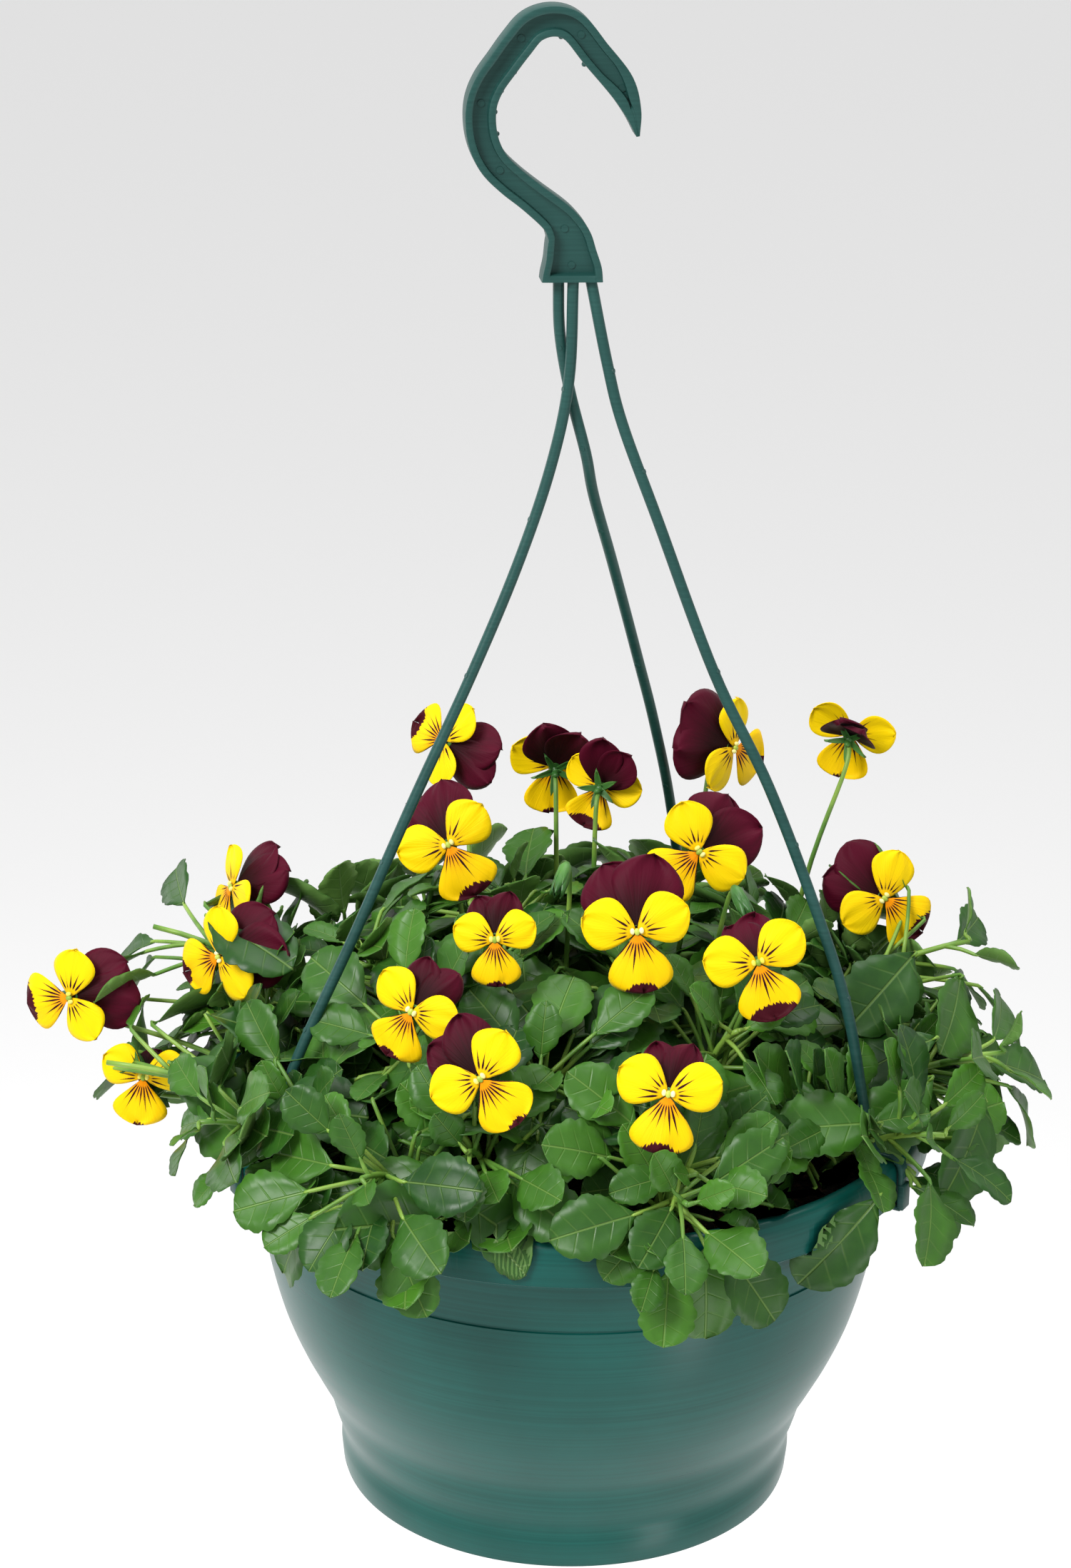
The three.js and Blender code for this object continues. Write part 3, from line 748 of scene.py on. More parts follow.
@dataclass
class Hook:
    """The flat hook: a ribbon with a pocket in each face, flared at its base and pointed at its tip."""

    depth: float = 9.6
    web: float = 3.0
    flange: float = 2.6
    turn: float = 8.0
    pocket_start: float = 0.026  # shares of the spine's length
    pocket_end: float = 0.945
    spine: tuple[tuple[float, float, float], ...] = (  # x, height, half width
        (-5.9, 465, 10.7), (-5.9, 469.2, 10.2), (-6.4, 474.4, 8.9), (-7.2, 479.6, 7.9), (-8.8, 483.6, 6.8),
        (-12.2, 488, 5.9), (-20.2, 494.6, 5.3), (-27.8, 500.6, 5.3), (-33.6, 506.4, 5.3), (-37, 513, 5.3),
        (-38.4, 520.2, 5.3), (-38, 527.4, 5.3), (-35.4, 533.9, 5.3), (-31, 540.2, 5.3),
        (-26, 547, 5.4), (-20.8, 552.8, 5.3), (-13.7, 554.9, 5.2), (-6.8, 552.6, 5.2),
        (0.8, 543.6, 5.2), (9.3, 533.4, 4.9), (13.8, 524, 3), (15.8, 515.6, 0.6),
    )

    def section(self, half: float, sunk: float, narrow: float) -> list[tuple[float, float]]:
        """Gives the ribbon's cross-section, an H when its pockets are sunk."""
        face = self.depth / 2
        soft = min(0.5, half * 0.3)
        lip = max((half - self.flange) * narrow, 0.3 if sunk > 0 else 0.12 * half)
        low = face - (face - self.web / 2) * sunk
        corner = [(half, face - soft), (half - soft * 0.3, face - soft * 0.3), (half - soft, face)]
        pocket = [(lip + 0.5, face), (lip + 0.1, face - 0.2 * sunk), (lip - 0.2 * sunk, low + 0.1), (lip * 0.6, low)]
        quarter = [*corner, *pocket]
        top = [*quarter, *[(-x, y) for x, y in reversed(quarter)]]
        return [*top, *[(-x, -y) for x, y in top]]

    def build(self, palette: Palette) -> bpy.types.Object:
        """Sweeps the section along the spine and turns it to its plane."""
        mesh = bmesh.new()
        steps = 150
        path = smooth_path([Vector(row) for row in self.spine], steps)
        rings = []
        for index, point in enumerate(path):
            before, after = path[max(index - 1, 0)], path[min(index + 1, steps)]
            heading = Vector((after.x - before.x, 0, after.y - before.y)).normalized()
            across = Vector((heading.z, 0, -heading.x))
            share = index / steps
            into, left = share - self.pocket_start, self.pocket_end - share
            sunk = min(1.0, max(0.0, into * 150), max(0.0, left * 150))
            narrow = min(1.0, max(0.1, left * 16))
            centre = Vector((point.x, 0, point.y))
            outline = self.section(point.z, sunk, narrow)
            rings.append([centre + across * x + Vector((0, y, 0)) for x, y in outline])
        sweep(mesh, rings)
        self.add_details(mesh, path)
        plane = Matrix.Rotation(math.radians(self.turn), 3, "Z")
        bmesh.ops.rotate(mesh, verts=mesh.verts, cent=(0, 0, 0), matrix=plane)
        return finish_piece(mesh, "hook_moulding", [palette.hanger], ["hook"], 38)

    def add_details(self, mesh: bmesh.types.BMesh, path: list[Vector]) -> None:
        """Adds round ejector marks in the pockets and nibs inside the bend.

        Args:
            mesh: the swept hook, before it is turned.
            path: the points along its spine, with its half widths.
        """
        for share in (0.06, 0.19, 0.36, 0.52, 0.68, 0.83, 0.915):
            point = path[int(share * (len(path) - 1))]
            for side in (-1, 1):
                place = Matrix.Translation((point.x, side * (self.web / 2 + 0.1), point.y)) @ Matrix.Rotation(
                    math.pi / 2, 4, "X")
                bmesh.ops.create_cone(
                    mesh, cap_ends=True, segments=18, radius1=1.25, radius2=1.25, depth=0.5, matrix=place)
        for share in (0.44, 0.5, 0.57, 0.62, 0.8, 0.86):
            index = int(share * (len(path) - 1))
            before, point, after = path[index - 1], path[index], path[index + 1]
            heading = Vector((after.x - before.x, 0, after.y - before.y)).normalized()
            inward = Vector((heading.z, 0, -heading.x))
            nib = Vector((point.x, 0, point.y)) + inward * (point.z + 0.1)
            place = Matrix.Translation(nib) @ Matrix.Diagonal((0.9, 1.6, 0.9, 1))
            bmesh.ops.create_icosphere(mesh, subdivisions=2, radius=1.0, matrix=place)


@dataclass
class Strand:
    """One moulded strand: a round bar from the hook that flattens into a strap clipped on the collar."""

    name: str
    clip: float  # azimuth of the clip
    lead: tuple[tuple[float, float, float], ...]
    route: tuple[tuple[float, float], ...]
    radius: float = 2.0
    sides: int = 16
    strap: tuple[tuple[float, float], ...] = (
        (123.6, 164.4), (126.6, 160.6), (129.6, 160.0), (132.6, 159.7), (135.0, 157.6), (135.8, 154.4),
        (135.8, 150), (135.9, 145), (135.9, 141.2),
    )

    def build(self, palette: Palette) -> bpy.types.Object:
        """Sweeps the strand, its strap and the foot that hooks under the collar."""
        mesh = bmesh.new()
        bar = [Vector(point) for point in self.lead] + [polar(r, self.clip, z) for r, z in self.route]
        bar[0] = bar[0] + Vector((0, 0, 2.4))
        bar_path = smooth_path(bar, 72)
        strap_path = smooth_path([bar[-1], *[polar(r, self.clip, z) for r, z in self.strap]], 30)[1:]
        path = [*bar_path, *strap_path]
        tangent = polar(1, self.clip + 90, 0)
        rings = []
        for index, centre in enumerate(path):
            heading = (path[min(index + 1, len(path) - 1)] - path[max(index - 1, 0)]).normalized()
            flat = min(1.0, max(0.0, (index - len(bar_path) + 6) / 9))
            rings.append(ring_about(centre, heading, heading.cross(tangent), self.section(flat, index)))
        sweep(mesh, rings)
        self.add_foot(mesh)
        self.add_marks(mesh, bar_path, tangent)
        return finish_piece(mesh, f"{self.name}_moulding", [palette.hanger], [self.name], 45)

    def section(self, flat: float, index: int) -> list[tuple[float, float]]:
        """Gives the cross-section, from round at 0 to a ribbed flat strap at 1."""
        ridge = 0.18 * flat if index % 3 == 0 else 0.0
        half_width = self.radius + (2.5 - self.radius) * flat
        half_depth = self.radius + (0.95 + ridge - self.radius) * flat
        power = 1 - 0.55 * flat
        corners = []
        for x, y in round_section(1.0, self.sides):
            corners.append((
                half_width * math.copysign(abs(x) ** power, x), half_depth * math.copysign(abs(y) ** power, y)))
        return corners

    def add_foot(self, mesh: bmesh.types.BMesh) -> None:
        """Adds the thick foot outside the collar and the barb under its edge."""
        turn = Matrix.Rotation(math.radians(self.clip), 4, "Z")
        for centre, size in (((136.6, 0, 145.4), (2.4, 6.0, 9.6)), ((134.4, 0, 140.9), (4.6, 6.0, 1.6))):
            place = turn @ Matrix.Translation(centre) @ Matrix.Diagonal((*size, 1))
            block = bmesh.ops.create_cube(mesh, size=1.0, matrix=place)["verts"]
            edges = list({edge for vert in block for edge in vert.link_edges})
            bmesh.ops.bevel(
                mesh, geom=edges, offset=0.4, offset_type="OFFSET", segments=2, profile=0.5, affect="EDGES",
                material=-1,
            )

    def add_marks(self, mesh: bmesh.types.BMesh, path: list[Vector], tangent: Vector) -> None:
        """Adds the round ejector marks that the mould leaves along the front of the bar."""
        for index in range(10, len(path) - 6, 13):
            heading = (path[index + 1] - path[index]).normalized()
            outward = heading.cross(tangent)
            outward = outward if outward.y < 0 else -outward
            place = blade_matrix(path[index] + outward * (self.radius - 0.25), heading, outward)
            bmesh.ops.create_cone(
                mesh, cap_ends=True, segments=14, radius1=1.05, radius2=0.95, depth=0.6, matrix=place)


STRANDS = (
    Strand("strand_left", 208, ((-5, -2.4, 463.9),), (
        (6.6, 430), (13.2, 399), (26, 364), (44, 325), (66, 282), (90.6, 231.5), (109, 196), (119.5, 172))),
    Strand("strand_right", 332, ((0.8, -0.6, 463.9),), (
        (8.4, 436), (15, 415), (30, 382), (53.8, 330), (77, 291), (98, 246.5), (111, 213), (120.5, 172))),
    Strand("strand_back", 68, ((-10.2, 0, 463.9), (-9.4, 0.3, 446), (-5.6, 1, 425)), (
        (1.4, 402), (10, 384), (30, 353), (56, 311), (77, 276), (98, 234), (119.5, 172))),
)


# ---- flowers ----

def stalk_path(at: Vector, out: Vector) -> list[Vector]:
    """Gives the stalk's route out of the compost, up to the flower and over into its back.

    Args:
        at: the flower's centre.
        out: the way that its face looks.

    Returns:
        The four points that the stalk passes through.
    """
    spread = at.xy.length
    azimuth = math.degrees(math.atan2(at.y, at.x))
    root_radius = min(100.0, spread * 0.72)
    root = polar(root_radius, azimuth, soil_height(root_radius) + 0.6)
    neck = at - out * 11 - Vector((0, 0, 9))
    half = root.lerp(neck, 0.5)
    half.z = root.z + (neck.z - root.z) * 0.62
    return [root, half, neck, at - out * 3.5]


def sheet_blade(
    mesh: bmesh.types.BMesh, columns: int, rows: int, shape, matrix: Matrix, slot: int,
    thickness: float = 0.25, back: int = 0, outside: bool | None = None,
) -> None:
    """Adds a thin blade: a grid pulled to its shape, with its own plan kept on every point.

    Args:
        mesh: the mesh that the blade is added to, with a "plan" layer.
        columns: how many faces it has across.
        rows: how many faces it has along.
        shape: from across (-1 to 1) and along (0 to 1), the point and its plan.
        matrix: from the blade's own millimetres to the pot's.
        slot: the material slot of its faces.
        thickness: how thick it is.
        back: how many slots on from that the material of its underside is.
        outside: for a leaf, whether it hangs outside the pot's collar.
    """
    layer = mesh.verts.layers.float_vector["plan"]
    verts = bmesh.ops.create_grid(mesh, x_segments=columns, y_segments=rows, size=0.5)["verts"]
    faces = {face for vert in verts for face in vert.link_faces}
    for vert in verts:
        point, plan = shape(vert.co.x * 2, vert.co.y + 0.5)
        vert.co = point
        vert[layer] = plan
    for face in faces:
        face.material_index = slot
    bmesh.ops.remove_doubles(mesh, verts=verts, dist=0.004)
    fronts = [face for face in faces if face.is_valid]
    grown = bmesh.ops.solidify(mesh, geom=fronts, thickness=thickness)["geom"]
    backs = [item for item in grown if isinstance(item, bmesh.types.BMFace) and item not in faces]
    for face in backs:
        face.material_index = slot + back
    blade = list({vert for face in [*fronts, *backs] for vert in face.verts})
    bmesh.ops.transform(mesh, matrix=matrix, verts=blade)
    if outside is not None:
        for vert in blade:
            vert.co = POT.keep_clear(vert.co, outside)


@dataclass(frozen=True)
class Petal:
    """One petal: how it is turned from the flower's up, its size and its place in the overlap."""

    part: PetalPart
    turn: float
    length: float
    width: float
    forward: float
    peak: float = 1.4  # the higher it is, the nearer to the tip the petal is widest
    notch: float = 0.0
    ruffle: float = 0.5

    def build(self, mesh: bmesh.types.BMesh, flower: "Flower", draws: Draws) -> None:
        """Adds the petal to its flower's mesh."""
        length = self.length * flower.size
        width = self.width * flower.size
        if self.part is PetalPart.UPPER:
            length *= 0.5 + 0.5 * flower.crown
            width *= flower.crown
        wave = draws.between(0, 6.28)
        curl = draws.between(0.8, 1.3)
        out, up, _ = flower.axes()
        direction = Matrix.Rotation(math.radians(self.turn), 3, out) @ up
        reflex = math.tan(math.radians(min(flower.reflex, 65)))
        lean = -reflex if self.part is PetalPart.UPPER else 0.1
        matrix = blade_matrix(flower.at + out * self.forward, direction + out * lean, out)

        def shape(across: float, along: float) -> tuple[Vector, Vector]:
            """Shapes a broad round blade on a narrow claw, with a waved edge."""
            along = 1 - (1 - along) ** 1.35
            breadth = math.sin(math.pi * along ** self.peak) ** 0.58 if 0 < along < 1 else 0.0
            edge = 1 + 0.035 * math.sin(7 * along + wave) * abs(across)
            x = across * width / 2 * breadth * edge
            y = length * (along - self.notch * along ** 6 * (1 - abs(across)) ** 1.5)
            ruffle = self.ruffle * math.sin(3.4 * across + wave) * along ** 2 * length * 0.06
            fold = 0.02 * length * math.sin(9 * across + 2 * wave) * along
            z = -curl * length * 0.13 * along ** 2 - 0.1 * width * across ** 2 * breadth + ruffle + fold
            return Vector((x, y, z)), Vector((x / flower.size, y / flower.size, flower.tone))

        slot = {PetalPart.UPPER: 0, PetalPart.SIDE: 1, PetalPart.LIP: 2}[self.part]
        sheet_blade(mesh, 12, 14, shape, matrix, slot)


PETALS = (
    Petal(PetalPart.UPPER, 21, 24, 22, -1.5, peak=1.3, ruffle=1.0),
    Petal(PetalPart.UPPER, -19, 25.5, 22, -0.8, peak=1.3, ruffle=1.0),
    Petal(PetalPart.SIDE, 70, 18.5, 17.5, 0.0, peak=1.38),
    Petal(PetalPart.SIDE, -68, 18.5, 17.5, 0.5, peak=1.38),
    Petal(PetalPart.LIP, 180, 20, 22, 1.0, peak=1.75, notch=0.1, ruffle=0.9),
)


@dataclass
class Flower:
    """An open viola on its stalk: two upper petals, two side petals, a lip, sepals and a spur."""

    name: str
    at: Vector
    face: tuple[float, float]  # azimuth and elevation that it looks to
    roll: float
    size: float
    reflex: float  # how far its upper petals bend back
    tone: float
    crown: float  # how broad its upper petals are

    def axes(self) -> tuple[Vector, Vector, Vector]:
        """Gives the directions out of the face, up along the upper petals, and to its side."""
        out = heading_of(*self.face)
        level = (Vector((0, 0, 1)) - out * out.z).normalized()
        up = Matrix.Rotation(math.radians(self.roll), 3, out) @ level
        return out, up, up.cross(out)

    def build(self, palette: Palette, seed: int) -> bpy.types.Object:
        """Builds the petals, then the sepals, spur, throat and stalk."""
        mesh = bmesh.new()
        mesh.verts.layers.float_vector.new("plan")
        draws = Draws(500 + seed)
        for petal in PETALS:
            petal.build(mesh, self, draws)
        self.add_sepals(mesh, draws)
        out, up, side = self.axes()
        path = smooth_path(stalk_path(self.at, out), 16)
        tube(mesh, path, [1.15 - 0.35 * index / 16 for index in range(17)], 8, 3)
        spur = [self.at - out * 1.5 - up * 1.5, self.at - out * 5 - up * 1.5, self.at - out * 8 - up * 0.5]
        tube(mesh, spur, [2.2, 1.6, 0.8], 8, 4)
        cup = [self.at - out * 5.6, self.at - out * 3.6, self.at - out * 1.2]
        tube(mesh, cup, [0.9, 2.3, 2.6], 10, 4)
        for aside, rise, radius, slot in ((0, 0.2, 1.0, 6), (1.5, 0.5, 0.85, 5), (-1.5, 0.5, 0.85, 5)):
            middle = self.at + (side * aside + up * rise + out * 1.2) * self.size
            tuft = blade_matrix(middle, up, out) @ Matrix.Diagonal((radius, radius * 1.4, 0.8, 1))
            verts = bmesh.ops.create_icosphere(mesh, subdivisions=2, radius=1.0, matrix=tuft)["verts"]
            for face in {face for vert in verts for face in vert.link_faces}:
                face.material_index = slot
        finishes = [
            palette.upper, palette.side, palette.lip, palette.stem, palette.sepal, palette.throat, palette.stigma]
        return finish_piece(mesh, f"{self.name}_bloom", finishes, [self.name])

    def add_sepals(self, mesh: bmesh.types.BMesh, draws: Draws) -> None:
        """Adds the five narrow green sepals behind the petals."""
        out, up, _ = self.axes()
        for index in range(5):
            turn = 72 * index + 36 + draws.between(-8, 8)
            direction = Matrix.Rotation(math.radians(turn), 3, out) @ up
            matrix = blade_matrix(self.at - out * 3.4, direction - out * 0.35, out)
            length = 10.5 * self.size

            def shape(across: float, along: float) -> tuple[Vector, Vector]:
                """Shapes a narrow pointed blade."""
                breadth = (1 - along) ** 0.8 * (0.6 + along)
                return Vector((across * 1.9 * breadth, length * along, -1.4 * across ** 2)), Vector((0, 0, 0))

            sheet_blade(mesh, 2, 5, shape, matrix, 4)


@dataclass
class Bud:
    """A closed bud in its sepals, nodding on its stalk."""

    name: str
    at: Vector
    face: tuple[float, float]

    def build(self, palette: Palette) -> bpy.types.Object:
        """Builds the folded petals, the sepals round them and the stalk."""
        mesh = bmesh.new()
        mesh.verts.layers.float_vector.new("plan")
        out = heading_of(*self.face)
        up = (Vector((0, 0, 1)) - out * out.z).normalized()
        for index in range(5):
            side = Matrix.Rotation(math.radians(72 * index), 3, out) @ up
            matrix = blade_matrix(self.at - out * 6 + side * 1.6, out + side * 0.28, side)

            def shape(across: float, along: float) -> tuple[Vector, Vector]:
                """Shapes a pointed sepal that hugs the bud."""
                breadth = math.sin(math.pi * min(along * 0.8 + 0.2, 1.0)) ** 0.8
                point = Vector((across * 2.3 * breadth, 13 * along, -2.4 * along ** 2 - 0.8 * across ** 2))
                return point, Vector((0, 0, 0))

            sheet_blade(mesh, 3, 6, shape, matrix, 1)
        body = [self.at - out * 7, self.at - out * 5, self.at, self.at + out * 4, self.at + out * 6.6]
        tube(mesh, body, [1.0, 2.4, 2.9, 2.0, 0.5], 12, 2)
        path = smooth_path(stalk_path(self.at, out), 16)
        tube(mesh, path, [1.1 - 0.35 * index / 16 for index in range(17)], 8, 0)
        finishes = [palette.stem, palette.sepal, palette.sepal]
        return finish_piece(mesh, f"{self.name}_closed", finishes, [self.name])


FLOWERS = tuple(  # centre, facing azimuth and elevation, roll, size, reflex, tone, crown
    Flower(f"flower_{index + 1:02d}", Vector(at), face, roll, size, reflex, tone, crown)
    for index, (at, face, roll, size, reflex, tone, crown) in enumerate((
        ((-52, 85, 262), (222, 25), -98, 0.95, 20, 0.8, 0.95), ((-9, 84, 253), (94, 4), 5, 1, 18, 0.2, 0.92),
        ((9, 62, 253), (80, -12), 20, 0.85, 10, 0.9, 0.9), ((60, 84, 262), (322, 4), 58, 1.05, 8, 0.2, 1.15),
        ((105, 85, 268), (78, 8), 12, 0.95, 42, 0.1, 0.85), ((-47, 6, 250), (262, 18), 32, 1.05, 12, 0.7, 0.9),
        ((45, 4, 250), (275, 20), -52, 1.05, 12, 0.4, 1.05), ((22, -61, 245), (272, 20), 6, 1.08, 8, 0.55, 1.1),
        ((118, 48, 215), (286, 15), 46, 1.02, 10, 0.85, 0.95), ((65, -63, 235), (272, 22), 18, 1.05, 38, 1.0, 0.8),
        ((-28, -66, 243), (268, 20), 4, 0.82, 10, 0.35, 0.75), ((-56, -91, 226), (246, 10), -24, 0.95, 12, 0.45, 0.7),
        ((-31, -119, 214), (264, 16), 44, 1, 8, 0.3, 0.85), ((33, -122, 211), (270, 24), -8, 1.02, 20, 0.6, 0.66),
        ((-131, 46, 215), (205, 12), -30, 0.92, 25, 0.5, 1.05), ((-132, 2, 205), (230, 8), -58, 1.02, 15, 0.4, 1.1),
        ((-189, 7, 185), (246, 8), -72, 1, 12, 0.8, 1.05), ((-160, -9, 160), (266, 12), -6, 0.92, 60, 0.1, 0.6),
    ))
)
BUDS = (
    Bud("bud_1", Vector((60, -26, 243)), (300, -35)),
    Bud("bud_2", Vector((-5, -20, 248)), (250, -40)),
)


# ---- leafy shoots ----

POT = Pot()
LOWEST_TIP = 121.0  # a leaf whose tip would hang below this is left out
VIEW_BEHIND, VIEW_AHEAD = -4.0, 75.0  # how far from a flower's face leaves are kept off it
FLOWER_RADIUS = 17.5


@dataclass
class Leaf:
    """One leaf: where its stalk starts, where its blade starts, and the blade's run and size."""

    start: Vector
    base: Vector
    along: Vector
    face: Vector
    length: float
    width: float
    bend: float
    tone: float

    def is_outside(self) -> bool:
        """Says whether the leaf starts outside the pot's collar."""
        return self.base.xy.length > POT.collar_radius - 4

    def add_blade(self, mesh: bmesh.types.BMesh) -> None:
        """Adds the blade: wedge-shaped at its base, widest past its middle, blunt, with rounded teeth."""
        rows = 16
        outside = self.is_outside()

        def shape(across: float, along: float) -> tuple[Vector, Vector]:
            """Shapes the blade about its midrib."""
            row = round(along * rows)
            along = 1 - (1 - along) ** 1.25
            if along < 0.58:
                breadth = math.sin(math.pi / 2 * along / 0.58) ** 1.15
            else:
                breadth = math.sqrt(max(0.0, 1 - ((along - 0.58) / 0.42) ** 2))
            tooth = (0.92, 1.02, 1.02)[row % 3] if abs(across) > 0.9 else 1.0
            x = across * self.width * 0.57 * breadth * tooth
            lift = 0.13 * self.width * abs(across) ** 1.5 * breadth
            ripple = 0.02 * self.length * math.sin(along * 11 + self.tone * 9) * across
            z = lift + ripple - self.bend * self.length * along ** 2
            return Vector((x, self.length * along, z)), Vector((across * breadth, along, self.tone))

        matrix = blade_matrix(self.base, self.along, self.face)
        sheet_blade(mesh, 4, rows, shape, matrix, 0, thickness=0.3, back=1, outside=outside)

    def lift_over_rim(self) -> None:
        """Raises a leaf that starts inside the rim and would otherwise pass through it."""
        end = self.base + self.along * self.length
        if self.base.xy.length < 130 < end.xy.length and end.z < POT.rim_top + 3:
            self.base.z = max(self.base.z, POT.rim_top - 4)
            self.along.z = (POT.rim_top + 4 - self.base.z) / self.length
            self.along.normalize()

    def in_the_way(self) -> bool:
        """Says whether the leaf would lie over an open flower's face, or hang low on the pot."""
        if (self.base + self.along * self.length).z < LOWEST_TIP:
            return True
        middle = self.base + self.along * self.length * 0.55
        for flower in FLOWERS:
            out, _, _ = flower.axes()
            ahead = (middle - flower.at).dot(out)
            beside = (middle - flower.at - out * ahead).length
            if VIEW_BEHIND < ahead < VIEW_AHEAD and beside < FLOWER_RADIUS + self.length * 0.34:
                return True
        return False

    def add_stalk(self, mesh: bmesh.types.BMesh) -> None:
        """Adds the leaf's stalk, which runs a little way under the blade."""
        under = self.base + self.along * 2.5 - self.face * 0.25
        bow = self.start.lerp(self.base, 0.55) + self.face * 0.6
        outside = self.is_outside()
        points = [self.start, bow, self.base, under]
        clear = [point if point is self.start else POT.keep_clear(point, outside) for point in points]
        path = smooth_path(clear, 6)
        tube(mesh, path, [0.95, 0.9, 0.85, 0.8, 0.75, 0.65, 0.3], 6, 2)


def outward_at(facing: Vector, angle: float) -> Vector:
    """Gives the direction at an angle, in radians, round the way that a cluster faces."""
    east = Vector((-facing.y, facing.x, 0)).normalized()
    north = facing.cross(east)
    return east * math.cos(angle) + north * math.sin(angle)


@dataclass
class Shoot:
    """A leafy shoot: a stem that leans out of the compost with a cluster of leaves at its tip."""

    name: str
    root: Vector
    tip: Vector
    seed: int
    leaves: int = 12
    small_leaves: int = 15
    golden_angle: float = 137.5

    def stem_point(self, share: float) -> Vector:
        """Gives a point on the stem from its root at 0 to its tip at 1."""
        guide = self.root.lerp(self.tip, 0.35)
        guide.z = self.root.z + max(self.tip.z - self.root.z, 24) * 0.85
        return self.root * (1 - share) ** 2 + guide * 2 * share * (1 - share) + self.tip * share ** 2

    def grow_leaves(self) -> list[Leaf]:
        """Lays out the cluster: young leaves small and upright, older ones longer, lower and flatter."""
        draws = Draws(self.seed)
        turn = draws.between(0, 360)
        facing = Vector((self.tip.x * 0.9, self.tip.y * 0.9, 95)).normalized()
        cluster = []
        for rank in range(self.leaves):
            angle = math.radians(turn + self.golden_angle * rank + draws.between(-16, 16))
            length = min(44, 19 + 4.2 * rank) * draws.between(0.88, 1.12) * 0.88
            width = length * draws.between(0.52, 0.66)
            rise = math.radians(max(58 - 13 * rank, -42) + draws.between(-9, 9))
            outward = outward_at(facing, angle)
            base = self.tip + outward * (3 + 3.2 * rank) + facing * (-1.8 * rank)
            along = outward * math.cos(rise) + facing * math.sin(rise)
            along.z -= 0.05 * rank
            face = facing * math.cos(rise) - outward * math.sin(rise)
            bend = draws.between(0.08, 0.28)
            cluster.append(Leaf(
                self.stem_point(max(0.3, 1 - 0.1 * rank)), base, along.normalized(), face, length, width, bend,
                (self.seed * 0.37 + rank * 0.61) % 0.7 + (0.3 if rank < 2 else 0.0),
            ))
        cluster += [self.grow_small_leaf(draws, facing) for _ in range(self.small_leaves)]
        for leaf in cluster:
            leaf.lift_over_rim()
        return cluster

    def grow_small_leaf(self, draws: Draws, facing: Vector) -> Leaf:
        """Lays out one of the smaller leaves that fill the shoot lower on its stem."""
        angle = draws.between(0, 2 * math.pi)
        share = draws.between(0.3, 0.92)
        outward = outward_at(facing, angle)
        base = self.stem_point(share) + outward * draws.between(7, 26) + facing * draws.between(1, 8)
        rise = math.radians(draws.between(0, 48))
        along = (outward * math.cos(rise) + facing * math.sin(rise)).normalized()
        face = facing * math.cos(rise) - outward * math.sin(rise)
        length = draws.between(17, 31)
        width = length * draws.between(0.55, 0.7)
        start = self.stem_point(max(0.1, share - 0.14))
        return Leaf(start, base, along, face, length, width, draws.between(0.05, 0.25), draws.between(0, 1))

    def build(self, palette: Palette) -> bpy.types.Object:
        """Builds the leaves that leave the flowers in view, then the stem."""
        mesh = bmesh.new()
        mesh.verts.layers.float_vector.new("plan")
        cluster = [leaf for leaf in self.grow_leaves() if not leaf.in_the_way()]
        for leaf in cluster:
            leaf.add_blade(mesh)
            leaf.add_stalk(mesh)
        path = [self.stem_point(step / 10) for step in range(11)]
        tube(mesh, path, [1.6 - 0.06 * step for step in range(11)], 7, 2)
        finishes = [palette.leaf, palette.leaf_back, palette.stem]
        return finish_piece(mesh, f"{self.name}_leaves", finishes, [self.name])


RINGS = (  # name, count, root radius, reach, height, first azimuth
    ("crown_shoot", 4, 25, 42, 220, 40),
    ("inner_shoot", 7, 60, 88, 206, 12),
    ("outer_shoot", 10, 90, 124, 182, 0),
    ("rim_shoot", 8, 104, 147, 176, 22),
)
STRAGGLES = (  # name, root azimuth and radius, tip
    ("left_low_straggle", 196, 100, (-172, -22, 172)),
    ("left_high_straggle", 165, 80, (-160, 32, 204)),
    ("right_high_straggle", 22, 80, (150, 34, 204)),
    ("right_low_straggle", 352, 95, (160, -14, 180)),
)


def plan_shoots() -> list[Shoot]:
    """Lays out every shoot, in the order in which they were grown.

    Returns:
        The long straggling shoots, then the rings from the crown to the rim.
    """
    shoots = []
    for name, azimuth, radius, tip in STRAGGLES:
        root = polar(radius, azimuth, soil_height(radius) + 0.6)
        shoots.append(Shoot(name, root, Vector(tip), len(shoots) + 1))
    for name, count, root_radius, reach, height, first in RINGS:
        for index in range(count):
            draws = Draws(100 + len(shoots))
            azimuth = first + 360 * index / count + draws.between(-7, 7)
            root = polar(root_radius, azimuth, soil_height(root_radius) + 0.6)
            out_to = reach * draws.between(0.95, 1.05)
            tip = polar(out_to, azimuth, height + draws.between(-5, 5))
            shoots.append(Shoot(f"{name}_{index + 1:02d}", root, tip, len(shoots) + 1))
    return shoots


# ---- studio ----

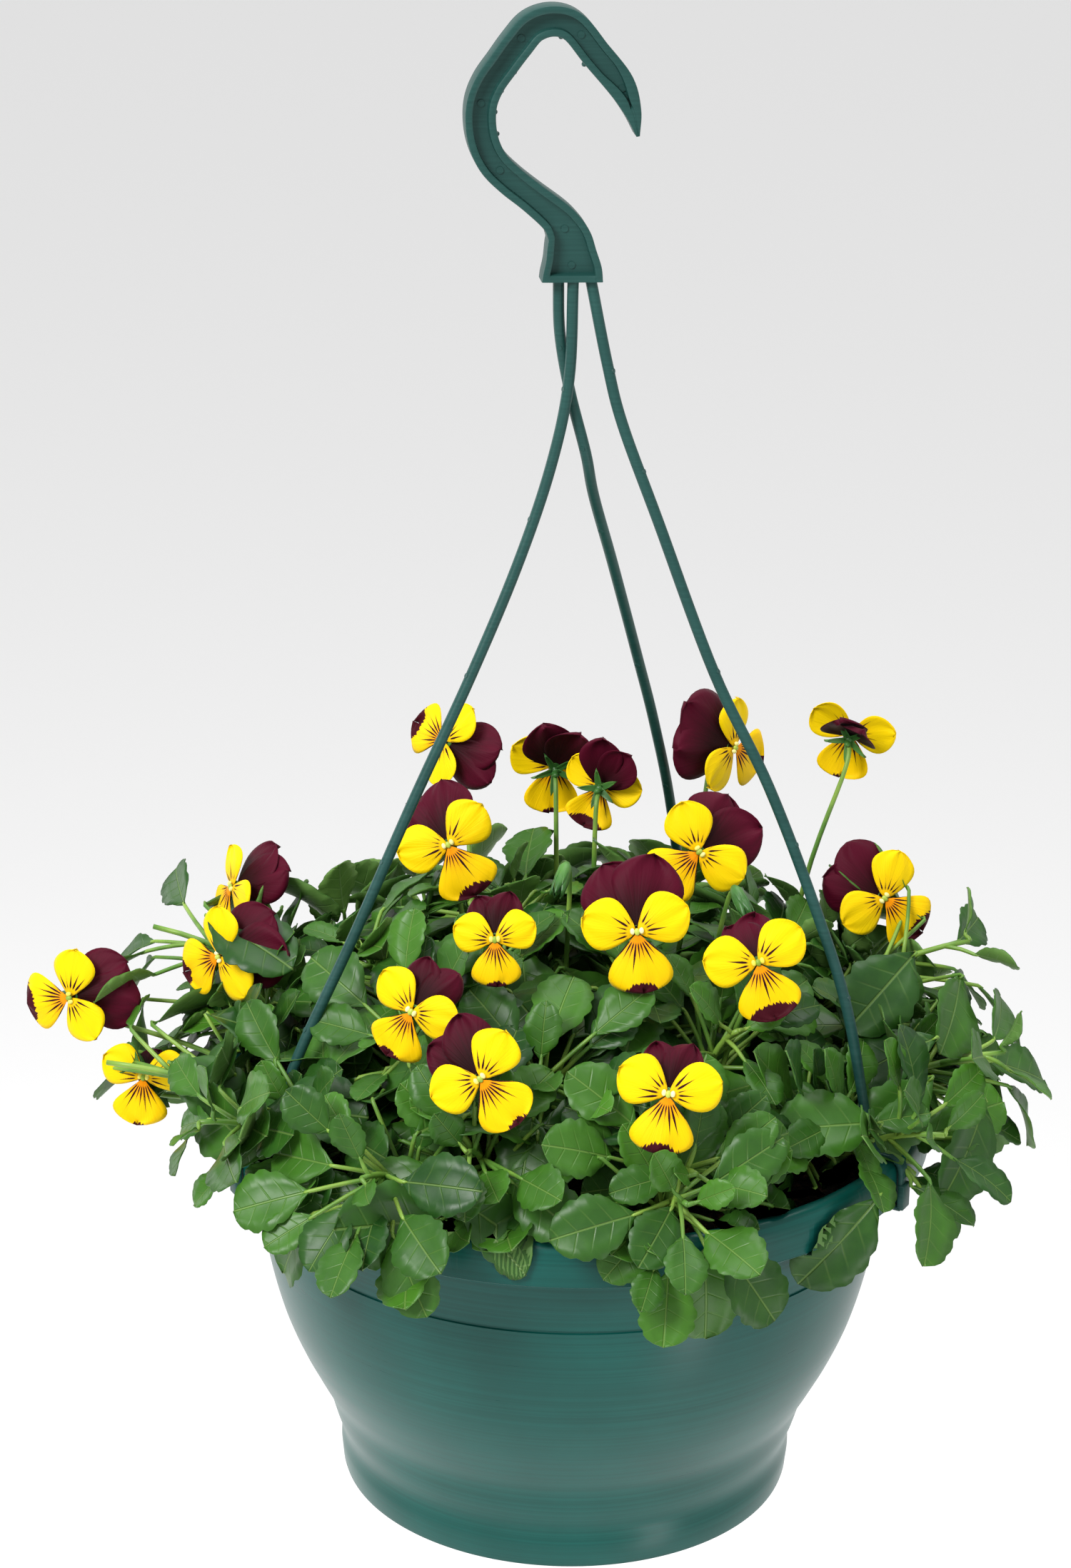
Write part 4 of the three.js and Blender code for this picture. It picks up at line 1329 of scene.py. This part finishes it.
@dataclass
class Studio:
    """A white sweep, soft lights and the camera."""

    camera_at: tuple[float, float, float] = (0.0, -1300.0, 770.04)
    pitch: float = 20.765
    yaw: float = -0.676
    roll: float = 0.915
    lens: float = 87.47

    def place_camera(self) -> None:
        """Places the camera, looking slightly down on the basket."""
        data = bpy.data.cameras.new("view")
        data.lens, data.sensor_width, data.sensor_fit = self.lens, 36.0, "AUTO"
        data.clip_end = 50.0
        pitch, yaw, roll = (math.radians(value) for value in (self.pitch, self.yaw, self.roll))
        forward = Vector((math.sin(yaw) * math.cos(pitch), math.cos(yaw) * math.cos(pitch), -math.sin(pitch)))
        right = Vector((math.cos(yaw), -math.sin(yaw), 0))
        up = right.cross(forward)
        turned_right = right * math.cos(roll) + up * math.sin(roll)
        turned_up = up * math.cos(roll) - right * math.sin(roll)
        matrix = Matrix((turned_right, turned_up, -forward)).transposed().to_4x4()
        matrix.translation = TO_FRAME @ Vector(self.camera_at)
        camera = bpy.data.objects.new("view", data)
        camera.matrix_world = matrix
        bpy.context.scene.collection.objects.link(camera)
        bpy.context.scene.camera = camera

    def build_floor(self) -> None:
        """Lays the pale floor well below the hanging basket."""
        mesh = bmesh.new()
        bmesh.ops.create_grid(mesh, x_segments=1, y_segments=1, size=14.0)
        data = bpy.data.meshes.new("floor")
        mesh.to_mesh(data)
        mesh.free()
        data.transform(Matrix.Translation((0, 0, POT_CENTRE.z - 0.9)))
        material, _, _ = start_material("pale_floor", {"Base Color": linear("#fbfbfb"), "Roughness": 0.9})
        data.materials.append(material)
        floor = bpy.data.objects.new("floor", data)
        bpy.context.scene.collection.objects.link(floor)

    def light(self) -> None:
        """Hangs the soft lights and sets the pale surroundings."""
        world = bpy.data.worlds.new("studio")
        world.use_nodes = True
        world.node_tree.nodes["Background"].inputs["Color"].default_value = linear("#ffffff")
        world.node_tree.nodes["Background"].inputs["Strength"].default_value = 0.77
        bpy.context.scene.world = world
        bpy.context.scene.view_settings.view_transform = "Standard"
        lamps = (  # name, place, width, height, power
            ("key", (-1100, -1300, 1700), 0.8, 0.8, 54.0),
            ("strip", (950, -900, -560), 0.3, 1.2, 5.0),
            ("edge", (-1700, 1300, 300), 0.5, 1.5, 7.0),
            ("crown", (300, 400, 1900), 1.2, 1.2, 18.0),
        )
        target = TO_FRAME @ Vector((0, 0, 140))
        for name, place, width, height, power in lamps:
            data = bpy.data.lights.new(name, "AREA")
            data.shape, data.size, data.size_y, data.energy = "RECTANGLE", width, height, power
            lamp = bpy.data.objects.new(name, data)
            lamp.location = TO_FRAME @ Vector(place)
            lamp.rotation_euler = (target - lamp.location).to_track_quat("-Z", "Y").to_euler()
            bpy.context.scene.collection.objects.link(lamp)


def main() -> None:
    """Builds the studio and every piece of the basket in order."""
    logging.basicConfig(level=logging.INFO, format="%(name)s %(message)s")
    studio = Studio()
    studio.place_camera()
    studio.build_floor()
    studio.light()
    palette = mix_palette()
    POT.build(palette)
    Compost().build(palette)
    Hook().build(palette)
    for strand in STRANDS:
        strand.build(palette)
    for index, flower in enumerate(FLOWERS):
        flower.build(palette, index)
    for bud in BUDS:
        bud.build(palette)
    for shoot in plan_shoots():
        shoot.build(palette)


if __name__ == "__main__":
    main()
